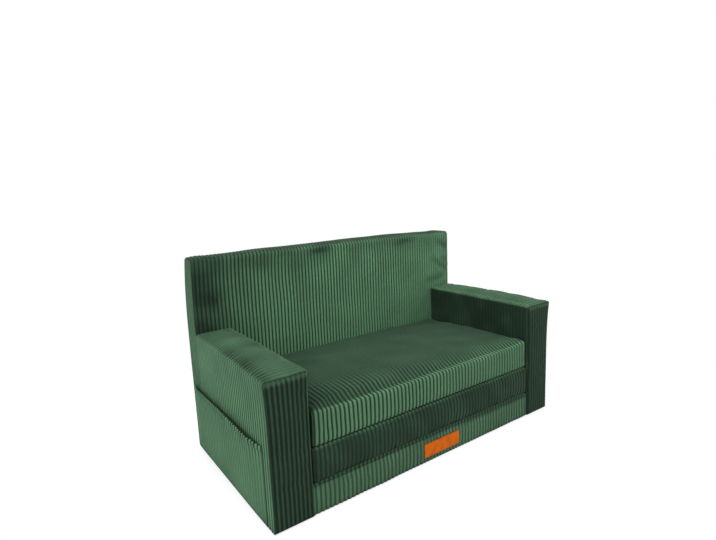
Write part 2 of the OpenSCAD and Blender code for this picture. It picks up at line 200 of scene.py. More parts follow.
def outline(hb, hz, radius, foot, spacing, last_spacing, slot_z=None, mouth_z=None):
    """The cover's loop across its length: rows of core b, core z, normal b, normal z, radius. The last run is
    the rear face, or an arm's right side. Rows stand closer where a zip's slot or a pocket's mouth crosses."""
    rows = []
    corners = [(hb - radius, hz - radius, 0), (radius - hb, hz - radius, 90), (foot - hb, foot - hz, 180),
               (hb - foot, foot - hz, 270)]
    arc = 6 if spacing < 0.011 else 3
    for k, (b, z, turn) in enumerate(corners):
        for i in range(arc + 1):
            angle = math.radians(turn + 90 * i / arc)
            rows.append((b, z, math.cos(angle), math.sin(angle), radius if k < 2 else foot))
        nb, nz, _ = corners[(k + 1) % 4]
        count = max(2, int(round(math.hypot(nb - b, nz - z) / (last_spacing if k == 3 else spacing))))
        angle = math.radians(turn + 90)
        shares = [i / count for i in range(1, count)]
        close = []
        if k == 3 and slot_z is not None:
            close = [slot_z + d for d in slot_rows]
        if k in (1, 3) and mouth_z is not None:
            close = [mouth_z + d for d in mouth_rows]
        if close:
            shares = sorted([f for f in shares if min(abs(z + (nz - z) * f - c) for c in close) > 0.003]
                            + [(c - z) / (nz - z) for c in close])
        here, there = (radius if k < 2 else foot), (radius if k in (0, 3) else foot)
        for f in shares:
            rows.append((b + (nb - b) * f, z + (nz - z) * f, math.cos(angle), math.sin(angle),
                         here + (there - here) * f))
    return np.array(rows)


def quad_grid(i, j, next_j, cols, way=1):
    """Faces of a grid of points, each row cols long, turned the other way for way -1."""
    corners = [i * cols + j, (i + 1) * cols + j, (i + 1) * cols + next_j, i * cols + next_j]
    return np.stack(corners if way > 0 else [corners[0]] + corners[:0:-1], -1).reshape(-1, 4)


def rounded_corners(b, z, half_b, half_z, corner):
    """Places of a flat grid drawn in so that its corners are round."""
    u = np.clip((np.abs(b) - (half_b - corner)) / corner, 0, 1)
    v = np.clip((np.abs(z) - (half_z - corner)) / corner, 0, 1)
    both = (u > 0) & (v > 0)
    return (np.where(both, np.sign(b) * (half_b - corner + corner * u * np.sqrt(1 - v * v / 2)), b),
            np.where(both, np.sign(z) * (half_z - corner + corner * v * np.sqrt(1 - u * u / 2)), z))


def cover_parts(size, along, radius, foot, seam, pitch, panel_pitch, fine, slot_z=None, mouth_z=None):
    """Plain points of a cover: the wrapped panel and its two end panels, with what the ribs need."""
    h = np.array(size) / 2
    ha, hb, hz = h[along], h[1 - along], h[2]
    dip = 0.45 * seam
    coarse_step = 0.012
    step = pitch / rib_steps if fine else coarse_step
    stations = np.linspace(-(ha - dip), ha - dip, int(round(2 * (ha - dip) / step)) + 1)
    spacing = 0.0085 if fine else 0.013
    loop = outline(hb, hz, radius, foot, spacing, spacing * (2.1 if along == 0 else 1), slot_z, mouth_z)
    to_seam = (ha - dip) - np.abs(stations)
    inset = dip * np.exp(-to_seam / (0.35 * seam))
    left = loop[:, 4] - inset[:, None]
    wrap = np.zeros((len(stations), len(loop), 3))
    wrap[:, :, along] = stations[:, None]
    wrap[:, :, 1 - along] = loop[:, 0] + left * loop[:, 2]
    wrap[:, :, 2] = loop[:, 1] + left * loop[:, 3]
    wrap_normal = np.zeros_like(wrap)
    wrap_normal[:, :, 1 - along] = loop[:, 2]
    wrap_normal[:, :, 2] = loop[:, 3]
    run = np.concatenate([[0], np.cumsum(np.linalg.norm(np.diff(wrap[len(stations) // 2], axis=0), axis=1))])
    across, run_along, seam_far = (np.broadcast_to(values, wrap.shape[:2])
                                   for values in (stations[:, None], run, to_seam[:, None]))
    parts = [dict(points=wrap, normal=wrap_normal, across=across, along=run_along, seam=seam_far, pitch=pitch,
                  rows=stations, columns=run)]
    panel_gap = 0.0004
    pb, pz = hb - dip - panel_gap, hz - dip - panel_gap
    step = panel_pitch / rib_steps if fine else coarse_step
    b_rows = np.linspace(-pb, pb, int(round(2 * pb / step)) + 1)
    border = [0, 0.0012, 0.003, 0.006] if fine else [0]
    inner = np.linspace(-pz + border[-1], pz - border[-1], int(round(2 * pz / spacing)) + 1)
    z_rows = np.concatenate([-pz + np.array(border[:-1]), inner, pz - np.array(border[:-1])[::-1]])
    bb, zz = np.meshgrid(b_rows, z_rows, indexing="ij")
    to_edge = np.minimum(pb - np.abs(bb), pz - np.abs(zz))
    rb, rz = rounded_corners(bb, zz, pb, pz, np.where(zz < 0, foot, radius) - dip - panel_gap)
    for side in (-1, 1):
        panel = np.zeros(bb.shape + (3,))
        panel[:, :, along] = side * (ha - dip * np.exp(-to_edge / (0.35 * seam)))
        panel[:, :, 1 - along] = rb
        panel[:, :, 2] = rz
        normal = np.zeros_like(panel)
        normal[:, :, along] = side
        parts.append(dict(points=panel, normal=normal, across=bb, along=zz, seam=to_edge, pitch=panel_pitch,
                          rows=b_rows, columns=z_rows))
    return parts


def border_loop(rows, columns):
    """Indices round the rim of a grid, in order."""
    return ([(i, 0) for i in range(rows)] + [(rows - 1, j) for j in range(1, columns)]
            + [(i, columns - 1) for i in range(rows - 2, -1, -1)] + [(0, j) for j in range(columns - 2, 0, -1)])


def zipped(ring_a, angle_a, ring_b, angle_b):
    """Triangles between two rims, walked round together by their angles."""
    a_order, b_order = np.argsort(angle_a, kind="stable"), np.argsort(angle_b, kind="stable")
    ra, rb = [ring_a[i] for i in a_order], [ring_b[i] for i in b_order]
    ta, tb = [angle_a[i] for i in a_order], [angle_b[i] for i in b_order]
    faces, i, j, na, nb = [], 0, 0, len(ra), len(rb)
    while i < na or j < nb:
        next_a = ta[(i + 1) % na] + (2 * math.pi if i + 1 >= na else 0)
        next_b = tb[(j + 1) % nb] + (2 * math.pi if j + 1 >= nb else 0)
        if j >= nb or (i < na and next_a <= next_b):
            faces.append((ra[i % na], ra[(i + 1) % na], rb[j % nb]))
            i += 1
        else:
            faces.append((ra[i % na], rb[(j + 1) % nb], rb[j % nb]))
            j += 1
    return faces


def cover_faces(parts, along, h):
    """Quads of the three grids and the seam strips between them, over one shared list of points."""
    start = np.cumsum([0] + [part["across"].size for part in parts])
    rows, cols = parts[0]["points"].shape[:2]
    i, j = np.meshgrid(np.arange(rows - 1), np.arange(cols), indexing="ij")
    faces = [quad_grid(i, j, (j + 1) % cols, cols)]
    for n in (1, 2):
        r, c = parts[n]["points"].shape[:2]
        i, j = np.meshgrid(np.arange(r - 1), np.arange(c - 1), indexing="ij")
        faces.append(start[n] + quad_grid(i, j, j + 1, c, -1))
    quads = np.concatenate(faces)
    strips = []
    for n, row in ((1, 0), (2, rows - 1)):
        r, c = parts[n]["points"].shape[:2]
        rim = border_loop(r, c)
        rim_points = np.array([parts[n]["points"][p] for p in rim])
        loop_points = parts[0]["points"][row]
        angles = [np.arctan2(q[:, 2] / h[2], q[:, 1 - along] / h[1 - along]) for q in (loop_points, rim_points)]
        strips += zipped([row * cols + j for j in range(cols)], angles[0],
                         [start[n] + p[0] * c + p[1] for p in rim], angles[1])
    return quads, strips


def side_value(sign, pair):
    """The second value of a pair on the high side and the first on the low one."""
    return np.where(sign > 0, pair[1], pair[0])


def softened(points, h, rise, bulge, drop, shoulder, flare, sag, lean):
    """Moves plain points out to the crowned form: faces swell, edges stay, a soft edge rolls down."""
    u, v, w = (points[..., k] / h[k] for k in range(3))
    roll = np.where((v < 0) & (w > 0), drop * np.abs(v) ** 7 * np.maximum(w, 0) ** 7 * crown(u), 0)
    fall = np.where(w > 0, shoulder * np.abs(u) ** 22 * w, 0)
    lift = np.where(w > 0, rise * w * crown(u) * crown(v), 0)
    out = points.copy()
    out[..., 0] += side_value(u, bulge[0]) * u * crown(v) * crown(w)
    front_flare, rear_flare = (np.where(u > 0, flare[1][k], flare[0][k]) for k in (0, 1))
    out[..., 0] += (front_flare * (1 - v) / 2 + rear_flare * (1 + v) / 2) * u * np.maximum(w, 0) ** 3
    out[..., 1] += side_value(v, bulge[1]) * v * crown(u) * crown(w) + roll
    out[..., 2] += (lift - roll - fall - sag * np.maximum(w, 0) * ((1 - v) / 2) ** 1.5
                    - np.maximum(w, 0) * (lean[0] * ease(u, 0.3, 1.0) + lean[1] * ease(v, -0.35, 1.0)))
    return out


def mesh_piece(name, points, quads, triangles):
    """A new smooth-shaded object of these points and faces."""
    mesh = bpy.data.meshes.new(name)
    mesh.vertices.add(len(points))
    mesh.vertices.foreach_set("co", np.asarray(points, dtype=np.float32).ravel())
    corners = np.concatenate([np.asarray(quads, dtype=np.int32).ravel(),
                              np.asarray(triangles, dtype=np.int32).ravel()]).astype(np.int32)
    mesh.loops.add(len(corners))
    mesh.loops.foreach_set("vertex_index", corners)
    sizes = np.concatenate([np.full(len(quads), 4), np.full(len(triangles), 3)]).astype(np.int32)
    mesh.polygons.add(len(sizes))
    mesh.polygons.foreach_set("loop_start", np.concatenate([[0], np.cumsum(sizes)[:-1]]).astype(np.int32))
    mesh.polygons.foreach_set("use_smooth", np.ones(len(sizes), dtype=bool))
    mesh.update(calc_edges=True)
    mesh.validate()
    piece = bpy.data.objects.new(name, mesh)
    scene.collection.objects.link(piece)
    return piece


def outward(piece):
    """Turns a closed piece's faces so that they all point out."""
    shell = bmesh.new()
    shell.from_mesh(piece.data)
    bmesh.ops.recalc_face_normals(shell, faces=shell.faces)
    shell.to_mesh(piece.data)
    shell.free()


puff_frames, puff_pressure, puff_loose, inward_limit, held_from = 20, 3.0, 0.012, 0.002, 0.93


def puffed(name, points, quads, triangles, held):
    """Cloth simulation of the plain cover over its foam; gives how far each point has moved."""
    piece = mesh_piece(name + "_puff", points, quads, triangles)
    outward(piece)
    group = piece.vertex_groups.new(name="held")
    for index in np.nonzero(held)[0]:
        group.add([int(index)], 1.0, "REPLACE")
    cloth = piece.modifiers.new("cloth", "CLOTH")
    for setting, value in dict(quality=6, mass=0.4, tension_stiffness=18, compression_stiffness=12,
                               shear_stiffness=6, bending_stiffness=0.6, use_pressure=True,
                               uniform_pressure_force=puff_pressure, shrink_min=-puff_loose,
                               vertex_group_mass="held").items():
        setattr(cloth.settings, setting, value)
    cloth.settings.effector_weights.gravity = 0
    cloth.collision_settings.use_collision = False
    cloth.point_cache.frame_start = 1
    cloth.point_cache.frame_end = puff_frames
    for number in range(1, puff_frames + 1):
        scene.frame_set(number)
    graph = bpy.context.evaluated_depsgraph_get()
    result = piece.evaluated_get(graph)
    after = np.zeros(len(points) * 3, dtype=np.float32)
    result.data.vertices.foreach_get("co", after)
    moved = after.reshape(-1, 3) - np.asarray(points)
    scene.frame_set(1)
    bpy.data.objects.remove(piece)
    return moved


def spread(field, rows, columns, new_rows, new_columns):
    """A grid of values read between its points at other rows and columns."""
    part = np.stack([[np.interp(new_rows, rows, field[:, j, k]) for k in range(3)]
                     for j in range(field.shape[1])], 0)
    return np.stack([[np.interp(new_columns, columns, part[:, k, i]) for k in range(3)]
                     for i in range(len(new_rows))], 0).transpose(0, 2, 1)


def crease_form(place, start_point, end_point, width):
    """How deep a crease and the swell beside it are at each place, 0 to 1, seen from the front."""
    a, b = np.array(start_point), np.array(end_point)
    long = np.linalg.norm(b - a)
    way = (b - a) / long
    t = (place[:, [0, 2]] - a) @ way
    across = np.linalg.norm(place[:, [0, 2]] - a - t[:, None] * way, axis=1)
    taper = np.sin(np.pi * np.clip(t / long, 0, 1)) ** 0.7
    return taper * np.exp(-(across / width) ** 2), taper * np.exp(-((across - 2.1 * width) / width) ** 2)


def keep_on_points(piece, fields, uv):
    """Keeps values on a piece's points and the cloth's flat coordinates at its corners, for its material."""
    for label, value in fields.items():
        stored = piece.data.attributes.new(label, "FLOAT", "POINT")
        stored.data.foreach_set("value", value.astype(np.float32))
    cloth_uv = piece.data.uv_layers.new(name="cloth")
    corner_points = np.zeros(len(piece.data.loops), dtype=np.int32)
    piece.data.loops.foreach_get("vertex_index", corner_points)
    cloth_uv.data.foreach_set("uv", uv[corner_points].astype(np.float32).ravel())


def ribbed_cover(name, low, high, along, give, seed, lie, rise=0, bulge=((0, 0), (0.002, 0)), drop=0, shoulder=0,
                 radius=0.0075, foot=None, seam=0.0035, pitch=rib_pitch, panel_pitch=rib_pitch, panel_slim=1,
                 flare=((0, 0), (0, 0)), sag=0, top_lean=(0, 0), wander=0.0007, dents=0.0008, zip_slot=None,
                 mouth=None, creases=()):
    """A closed corduroy cover round a foam block, with its seams, ribs, swell, small dents and creases.
    give is how far each side may swell. lie gives the painted sheen and shade of the pile, from the shaded copy of
    the cloth at 0 to the lit copy at 1, how far the ribs stand out and how strongly their grooves are painted
    darker, and how deep a seam's painted shade looks, at each place of the cloth. zip_slot is its height, half
    length and depth."""
    low, high = np.array(low), np.array(high)
    size, middle = high - low, (low + high) / 2
    h = size / 2
    foot = foot or radius
    form = (h, rise, bulge, drop, shoulder, flare, sag, top_lean)
    cut = (size, along, radius, foot, seam, pitch, panel_pitch)
    coarse = cover_parts(*cut, False)
    plain = np.concatenate([p["points"].reshape(-1, 3) for p in coarse])
    share = plain / h
    held = np.zeros(len(plain), dtype=bool)
    for axis in range(3):
        for side, room in zip((-1, 1), give[axis]):
            if room == 0:
                held |= side * share[:, axis] > held_from
    moved = puffed(name, softened(plain, *form), *cover_faces(coarse, along, h), held)
    for axis in range(3):
        outside = side_value(share[:, axis], give[axis]) * np.abs(share[:, axis])
        limit_high = np.where(share[:, axis] > 0, outside, inward_limit)
        limit_low = np.where(share[:, axis] > 0, -inward_limit, -outside)
        moved[:, axis] = np.clip(moved[:, axis], limit_low, limit_high)
    slot_z = None if zip_slot is None else zip_slot[0] - middle[2]
    mouth_z = None if mouth is None else mouth - middle[2]
    parts = cover_parts(*cut, True, slot_z, mouth_z)
    start = 0
    for n, part in enumerate(parts):
        points = softened(part["points"], *form)
        old = coarse[n]
        count = old["across"].size
        field = moved[start:start + count].reshape(old["points"].shape)
        start += count
        columns, new_columns = old["columns"], part["columns"]
        if n == 0:
            field = np.concatenate([field, field[:, :1]], 1)
            full_old = columns[-1] + np.linalg.norm(old["points"][0, -1] - old["points"][0, 0])
            full_new = new_columns[-1] + np.linalg.norm(part["points"][0, -1] - part["points"][0, 0])
            columns = np.append(columns, full_old) / full_old
            new_columns = new_columns / full_new
        rows = old["rows"] / np.abs(old["rows"]).max()
        points = points + spread(field, rows, columns, part["rows"] / np.abs(part["rows"]).max(), new_columns)
        flat = points.reshape(-1, 3)
        normal = part["normal"].reshape(-1, 3)
        seam_far = part["seam"].reshape(-1)
        free = 1 - np.exp(-seam_far / 0.012)
        face_room = np.zeros(len(flat))
        for axis in range(3):
            face_room += (normal[:, axis] ** 2) * (side_value(normal[:, axis], give[axis]) > 0)
        slip = drift(flat + middle, seed + 11, 0.21) * wander * free
        lean = np.zeros((len(flat), 3))
        lean[:, along if n == 0 else 1 - along] = slip
        dent = drift(flat + middle, seed + 5, 0.13) * dents * free * face_room
        height = rib_form(part["across"].reshape(-1), part["pitch"]) ** (1 if n == 0 else panel_slim)
        ripple = 0.86 + 0.14 * drift(flat + middle, seed + 7, 0.035)
        hold = 0.45 + 0.55 * (1 - np.exp(-seam_far / 0.004))
        # The lie paints sheen and shade into the cloth's colour and sets how far the ribs stand out.
        nap_sheen_and_shade, part["relief"], stitched = lie(flat + middle, normal, seam_far)
        part["nap_sheen_and_shade"] = full_nap_sheen * nap_sheen_and_shade
        hold = hold * (0.25 + 0.75 * part["relief"])
        for start_point, end_point, depth, width in creases:
            valley, swell = crease_form(flat + middle, start_point, end_point, width)
            dent = dent - depth * (valley - 0.45 * swell) * np.maximum(-normal[:, 1], 0) ** 2
        # Painted shade along each seam, where the cloth dips into it.
        seam_and_slot_shade = stitched * np.exp(-seam_far / 0.0026)
        # Inside the zip's slot the ribs are flattened and the cloth painted darker: painted shade in the recess.
        if slot_z is not None and n == 0:
            off = np.abs(flat[:, 2] - slot_z)
            inside = ((1 - ease(off, 0.0050, 0.0072)) * (normal[:, 1] > 0.9)
                      * (1 - ease(np.abs(flat[:, 0]), zip_slot[1], zip_slot[1] + 0.005)))
            hold = hold * (1 - inside)
            seam_and_slot_shade = np.maximum(seam_and_slot_shade, inside)
        flat = flat + lean + normal * (dent - rib_depth * hold * ripple * (1 - height))[:, None]
        if slot_z is not None and n == 0:
            flat[:, 1] += inside * (zip_slot[2] - middle[1] - flat[:, 1])
        part.update(final=flat, wale=height, seam=seam_and_slot_shade)
    whole = {label: np.concatenate([p[label] for p in parts])
             for label in ("final", "wale", "seam", "nap_sheen_and_shade", "relief")}
    piece = mesh_piece(name, whole.pop("final") + middle, *cover_faces(parts, along, h))
    keep_on_points(piece, whole, np.concatenate([
        np.stack([p["across"].reshape(-1) + 0.7 * n, p["along"].reshape(-1)], -1) for n, p in enumerate(parts)]))
    outward(piece)
    return piece


def colour(red, green, blue):
    """A colour of 0 to 255 as the linear colour that the shader needs."""
    return tuple(((c / 255 + 0.055) / 1.055) ** 2.4 if c > 10 else c / 255 / 12.92
                 for c in (red, green, blue)) + (1,)


def effect(name, given, made):
    """A shader node group with the named sockets that it is given and makes, and its two ends."""
    group = bpy.data.node_groups.new(name, "ShaderNodeTree")
    for way, sockets in (("INPUT", given), ("OUTPUT", made)):
        for label, kind in sockets.items():
            group.interface.new_socket(name=label, in_out=way, socket_type="NodeSocket" + kind)
    return group, group.nodes.new("NodeGroupInput").outputs, group.nodes.new("NodeGroupOutput")


def noise(tree, place, scale, detail=2):
    return add(tree, "TexNoise", {"Vector": place, "Scale": scale, "Detail": detail}, out="Fac")


def ranged(tree, value, from_low=0, from_high=1, to_low=0, to_high=1, **settings):
    return add(tree, "MapRange", {"Value": value, "From Min": from_low, "From Max": from_high, "To Min": to_low,
                                  "To Max": to_high}, **settings)


def mixed(tree, share, first, second):
    return add(tree, "Mix", {"Factor": share, "A": first, "B": second}, out="Result", data_type="RGBA")


def relief_of(tree, height, strength, distance):
    return add(tree, "Bump", {"Height": height, "Strength": strength, "Distance": distance})


def finish(tree, given):
    join(tree, tree.nodes["Principled BSDF"], given)


# The pile of the corduroy, shared by every cloth of the sofa: fine tufts along each rib, patches where a
# hand has brushed the pile another way, a lighter line on top of each ridge as a painted highlight, grooves
# painted darker as painted shade, and seams painted darker as painted shade.
pile, given, made = effect("corduroy_pile", {
    "Cloth UV": "Vector", "Place": "Vector", "Ridge Height": "Float", "Relief": "Float", "Seam": "Float",
    "Ridge Colour": "Color", "Groove Colour": "Color", "Brushing": "Float"},
    {"Colour": "Color", "Height": "Float", "Roughness": "Float"})
tufts = noise(pile, add(pile, "Mapping", {"Vector": given["Cloth UV"], "Scale": (1500, 420, 1)}), 1.0, 3)
flecks = noise(pile, add(pile, "Mapping", {"Vector": given["Cloth UV"], "Scale": (420, 70, 1)}), 1.0)
brushed = noise(pile, given["Place"], 9, 3)
edge = ranged(pile, given["Ridge Height"], 0.45, 0.97, interpolation_type="SMOOTHSTEP")
base = mixed(pile, ranged(pile, given["Relief"], 0, 1, 0.62, edge), given["Groove Colour"], given["Ridge Colour"])
tuft_shade = ranged(pile, tufts, 0.25, 0.75, 0.82, 1.16)
fleck_shade = ranged(pile, flecks, 0.3, 0.7, 0.88, 1.1)
brush_shade = calculated(pile, "MULTIPLY_ADD", calculated(pile, "SUBTRACT", brushed, 0.5), given["Brushing"], 1.0)
seam_shade = ranged(pile, given["Seam"], 0, 1, 1.0, 0.45)
shade = calculated(pile, "MULTIPLY", calculated(pile, "MULTIPLY", calculated(
    pile, "MULTIPLY", tuft_shade, fleck_shade), brush_shade), seam_shade)
join(pile, made, {"Colour": add(pile, "VectorMath", {0: base, "Scale": shade}, operation="SCALE"), "Height": tufts,
                  "Roughness": ranged(pile, given["Ridge Height"], 0, 1, 0.95, 0.78)})


def corduroy(name, lit_ridge, lit_groove, shaded_ridge, shaded_groove, brushing):
    """Wide-ribbed cotton corduroy in a lit and a shaded copy of its colours; a point attribute blends from the
    shaded copy to the lit one, as painted sheen and painted shade.
    """
    cloth, tree = new_paint(name)
    wale, seam, nap_sheen_and_shade, relief = (add(tree, "Attribute", out="Fac", attribute_name=label)
                               for label in ("wale", "seam", "nap_sheen_and_shade", "relief"))
    made = add(tree, "Group", node_tree=pile).node
    join(tree, made, {"Cloth UV": add(tree, "UVMap", uv_map="cloth"), "Place": add(tree, "TexCoord", out="Object"),
                      "Relief": relief, "Ridge Height": wale, "Seam": seam, "Brushing": brushing,
                      "Ridge Colour": mixed(tree, nap_sheen_and_shade, shaded_ridge, lit_ridge),
                      "Groove Colour": mixed(tree, nap_sheen_and_shade, shaded_groove, lit_groove)})
    finish(tree, {"Base Color": made.outputs["Colour"], "Roughness": made.outputs["Roughness"],
                  "Sheen Weight": 0.04, "Sheen Roughness": 0.45, "Sheen Tint": (0.85, 0.95, 0.86, 1),
                  "Specular IOR Level": 0.12, "Normal": relief_of(tree, made.outputs["Height"], 0.5, 0.0005)})
    return cloth


# The cloth's lit colours, then its shaded copy, each with a lighter ridge and a darker groove.
green_cord = corduroy("green_corduroy", colour(118, 167, 128), colour(44, 75, 50), colour(45, 65, 51),
                      colour(23, 41, 28), 0.4)


def pocket_shade(place, outer):
    """Painted shade inside a side pocket's opening: 1 just below the mouth, 0 outside."""
    y, z = place[:, 1], place[:, 2]
    return (outer * (1 - ease(z, pocket_mouth - 0.003, pocket_mouth - 0.001))
            * ease(y, pocket_front, pocket_front + 0.02) * (1 - ease(y, pocket_rear - 0.02, pocket_rear)))


back_creases = (((0.355, 0.432), (0.453, 0.376), 0.0024, 0.008), ((0.38, 0.49), (0.455, 0.455), 0.0014, 0.008),
                ((0.33, 0.350), (0.44, 0.362), 0.0016, 0.009), ((0.405, 0.425), (0.455, 0.412), 0.0014, 0.006),
                ((0.20, 0.492), (0.30, 0.503), 0.0016, 0.008), ((-0.445, 0.415), (-0.385, 0.400), 0.0016, 0.008),
                ((-0.12, 0.497), (-0.03, 0.506), 0.0012, 0.008))


# Painted sheen and shade on the back's cloth: its front darker towards the left end, along the top band and in
# patches at the upper and lower left, with painted shade in the crease valleys; lighter low on the right as painted
# light against the seat's shade; its top and end faces darker, and painted shade in a side pocket's opening. The
# second value lowers the ribs and their painted groove shade at the top, right and ends.
def back_lie(place, facing, seam_far):
    x, z = place[:, 0], place[:, 2]
    front, top = np.maximum(-facing[:, 1], 0) ** 2, np.maximum(facing[:, 2], 0) ** 2
    end = facing[:, 0] ** 2
    left = 1 - ease(x + 0.014 * drift(place, 64, 0.12), -0.41, -0.345)
    further = 1 - ease(x + 0.02 * drift(place, 65, 0.15), -0.37, -0.20)
    far_right = ease(x, 0.16, 0.36)
    high = (ease(z + 0.016 * drift(place, 62, 0.12), 0.45, 0.515) * (1 - 0.4 * ease(x, 0.05, 0.30))
            * (0.2 + 0.8 * ease(x, -0.42, -0.22)))
    patch = drift(place, 61, 0.11)
    shade = sum(crease_form(place, a, b, 1.3 * width)[0] for a, b, depth, width in back_creases)
    upper_left = (1 - ease(x + 0.02 * patch, -0.24, 0.0)) * ease(z, 0.34, 0.46) * ease(x, -0.42, -0.30)
    corner = (1 - ease(x, -0.40, -0.34)) * ease(z, 0.36, 0.43) * (1 - ease(z + 0.006 * patch, 0.470, 0.495))
    lower_left = (1 - ease(x, -0.36, -0.24)) * (1 - ease(z, 0.34, 0.42))
    low = 1 - ease(z, 0.27, 0.42)
    bright = 0.07 * ease(x, -0.05, 0.20) + 0.18 * ease(x, -0.22, 0.15) * low
    nap_sheen_and_shade = (1 - (0.54 * left + 0.20 * further + 0.38 * high + 0.30 * upper_left + 0.20 * lower_left + 0.28 * corner
                + 0.5 * shade - bright) * front
           - 0.88 * top + (0.06 + 0.05 * far_right) * patch)
    nap_sheen_and_shade = nap_sheen_and_shade * (1 - 0.35 * pocket_shade(place, end)) - 0.32 * end
    relief = (1 - (0.30 * high + 0.5 * far_right + 0.2 * left + 0.3 * ease(x, -0.15, 0.2) * low) * front - 0.3 * top
              - 0.4 * end + 0.08 * patch)
    stitched = 1 - 0.85 * end * (1 - ease(z, arm_height - 0.01, arm_height + 0.01))
    return np.clip(nap_sheen_and_shade, 0, 1 / full_nap_sheen), np.clip(relief, 0, 1), stitched


back_cover = ribbed_cover("back_corduroy", (-sofa_width / 2, rear_plane - back_thick, floor_clear),
                          (sofa_width / 2, rear_plane - 0.0005, back_height - 0.003), 0, rise=0.003,
                          bulge=((0, 0), (0, 0.0005)), shoulder=0.003, radius=0.011, foot=0.0025,
                          give=((0, 0), (0.003, 0.002), (0, 0.002)), seed=3, wander=0.0005, lie=back_lie,
                          zip_slot=(0.034, 0.3325, 0.2269), creases=back_creases, pitch=0.93 * rib_pitch,
                          flare=((-0.005, -0.009), (0, 0)), top_lean=(0.005, 0))
back_cover.data.materials.append(green_cord)
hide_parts("back_cover")
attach(back_cover, "frame")

# Arms: a foam block each, in a wrapped corduroy panel whose ribs stand upright on both sides and cross
# over the crowned top, with a separate front and rear panel whose cloth is painted darker, as painted sheen of
# pile lying the other way.
cover_gap = 0.00035
arm_inner = sofa_width / 2 - arm_width
arm_rear = rear_plane - back_thick - cover_gap
arm_sag = 0.005
left_arm_inner = arm_inner - 0.005


# Painted sheen and shade on the arms' cloth: outer sides lit, tops partly lit, inner sides, front and rear panels
# shaded, with painted highlights where the ribs turn over the front panel's top, along the edges near the seams and
# on the top folds; a light line at the left arm's inner front edge; painted shade near the pocket gathers, in the
# pocket's opening and along the floor.
def arm_lie(place, facing, seam_far):
    x, y, z = place[:, 0], place[:, 1], place[:, 2]
    outer = np.where(facing[:, 0] * x > 0, facing[:, 0] ** 2, 0)
    inner = np.where(facing[:, 0] * x < 0, facing[:, 0] ** 2, 0)
    top, front = np.maximum(facing[:, 2], 0) ** 2, np.maximum(-facing[:, 1], 0) ** 2
    patch = drift(place, 71, 0.12)
    bright_top = np.where(x > 0, 0.15, 0) + 0.05 * (1 - ease(y, front_plane, front_plane + 0.12))
    shoulder = arm_height - arm_crown
    turned = front * ease(z + np.where(x < 0, arm_sag, 0), shoulder - 0.010, shoulder - 0.008)
    teeth = (np.exp(-((np.abs(x) - sofa_width / 2 + 0.008) / 0.010) ** 2) * (1 - ease(y, -0.06, 0.09))
             * (1 - front))
    edge_far = np.abs(x) - np.where(x < 0, left_arm_inner, arm_inner)
    piping = front * np.exp(-((edge_far - 0.0015) / 0.0018) ** 2) * (x < 0)
    nap_sheen_and_shade = outer * 0.93 + top * (0.36 + bright_top) + front * 0.05 + 0.33 * turned + 0.08 * patch * (1 - front)
    nap_sheen_and_shade = nap_sheen_and_shade - 0.16 * teeth + 0.6 * piping
    nap_sheen_and_shade = nap_sheen_and_shade * (1 - 0.7 * pocket_shade(place, outer)) * (0.5 + 0.5 * ease(z, 0.003, 0.010))
    relief = (outer * 0.34 + inner * 0.3 + top * (0.12 + bright_top) + 0.75 * teeth + 0.08 * patch
              + front * (1 - 0.7 * turned) * np.where(x > 0, 0.6, 1))
    rim = np.exp(-((seam_far - 0.0045) / 0.002) ** 2) * (1 - front)
    fold_highlight = 4 * top * inner + np.exp(-((edge_far - 0.006) / 0.0016) ** 2) * top
    stitched = 1 - 0.85 * outer * ease(y, arm_rear - 0.05, arm_rear - 0.02)
    return np.clip(nap_sheen_and_shade + 0.4 * rim * stitched + 0.35 * fold_highlight, 0, 1), np.clip(relief, 0, 1), stitched


for side, name in ((-1, "left_arm"), (1, "right_arm")):
    low_x, high_x = (-sofa_width / 2, -left_arm_inner) if side < 0 else (arm_inner, sofa_width / 2)
    arm = ribbed_cover(name + "_corduroy", (low_x, front_plane + 0.0005, floor_clear),
                       (high_x, arm_rear, arm_height - arm_crown), 1, rise=arm_crown,
                       bulge=((0, 0), (0.0015, 0)), foot=0.0025, panel_pitch=arm_width / 9, panel_slim=1.7,
                       sag=arm_sag if side < 0 else 0, mouth=pocket_mouth,
                       give=((0, 0), (0.002, 0), (0, 0.003)), seed=21 + side, lie=arm_lie,
                       flare=((0.004, 0.001), (0.005, 0.001)) if side < 0 else ((0.003, 0.001), (0.010, 0.004)))
    arm.data.materials.append(green_cord)
    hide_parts(name + "_cover")
    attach(arm, "frame")

# Base block: the fixed bottom cushion between the arms, a foam slab in a corduroy cover whose ribs stand
# upright on its front. It is sewn to the arms and the back.
base_top, seat_setback, front_hollow = 0.071, 0.002, 0.002
seat_front = front_plane + seat_setback
base_half = arm_inner - cover_gap


# Painted sheen and shade on the base's cloth: its front lighter below a line that falls towards the right and
# darker above it, its top darker, and painted shade along the floor.
def base_lie(place, facing, seam_far):
    patch = drift(place, 81, 0.10)
    top = np.maximum(facing[:, 2], 0) ** 2
    line = 0.065 - 0.007 * ease(place[:, 0], -0.05, base_half)
    nap_sheen_and_shade = (0.55 + 0.08 * ease(place[:, 0], -0.05, 0.05) * (1 - ease(place[:, 0], 0.15, 0.25)) - 0.1 * top
           - 0.42 * ease(place[:, 2], line - 0.003, line + 0.001) * (1 - top) + 0.06 * patch)
    nap_sheen_and_shade = nap_sheen_and_shade * (0.5 + 0.5 * ease(place[:, 2], 0.003, 0.009))
    return np.clip(nap_sheen_and_shade, 0, 1), np.clip(0.62 + 0.12 * patch, 0, 1), 1


base_cover = ribbed_cover("base_corduroy", (-base_half, seat_front + front_hollow, floor_clear),
                          (base_half, arm_rear, base_top), 0, foot=0.0025,
                          give=((0, 0), (0.0006, 0), (0, 0)), seed=31, lie=base_lie)
base_cover.data.materials.append(green_cord)
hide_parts("base_cover")
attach(base_cover, "frame")

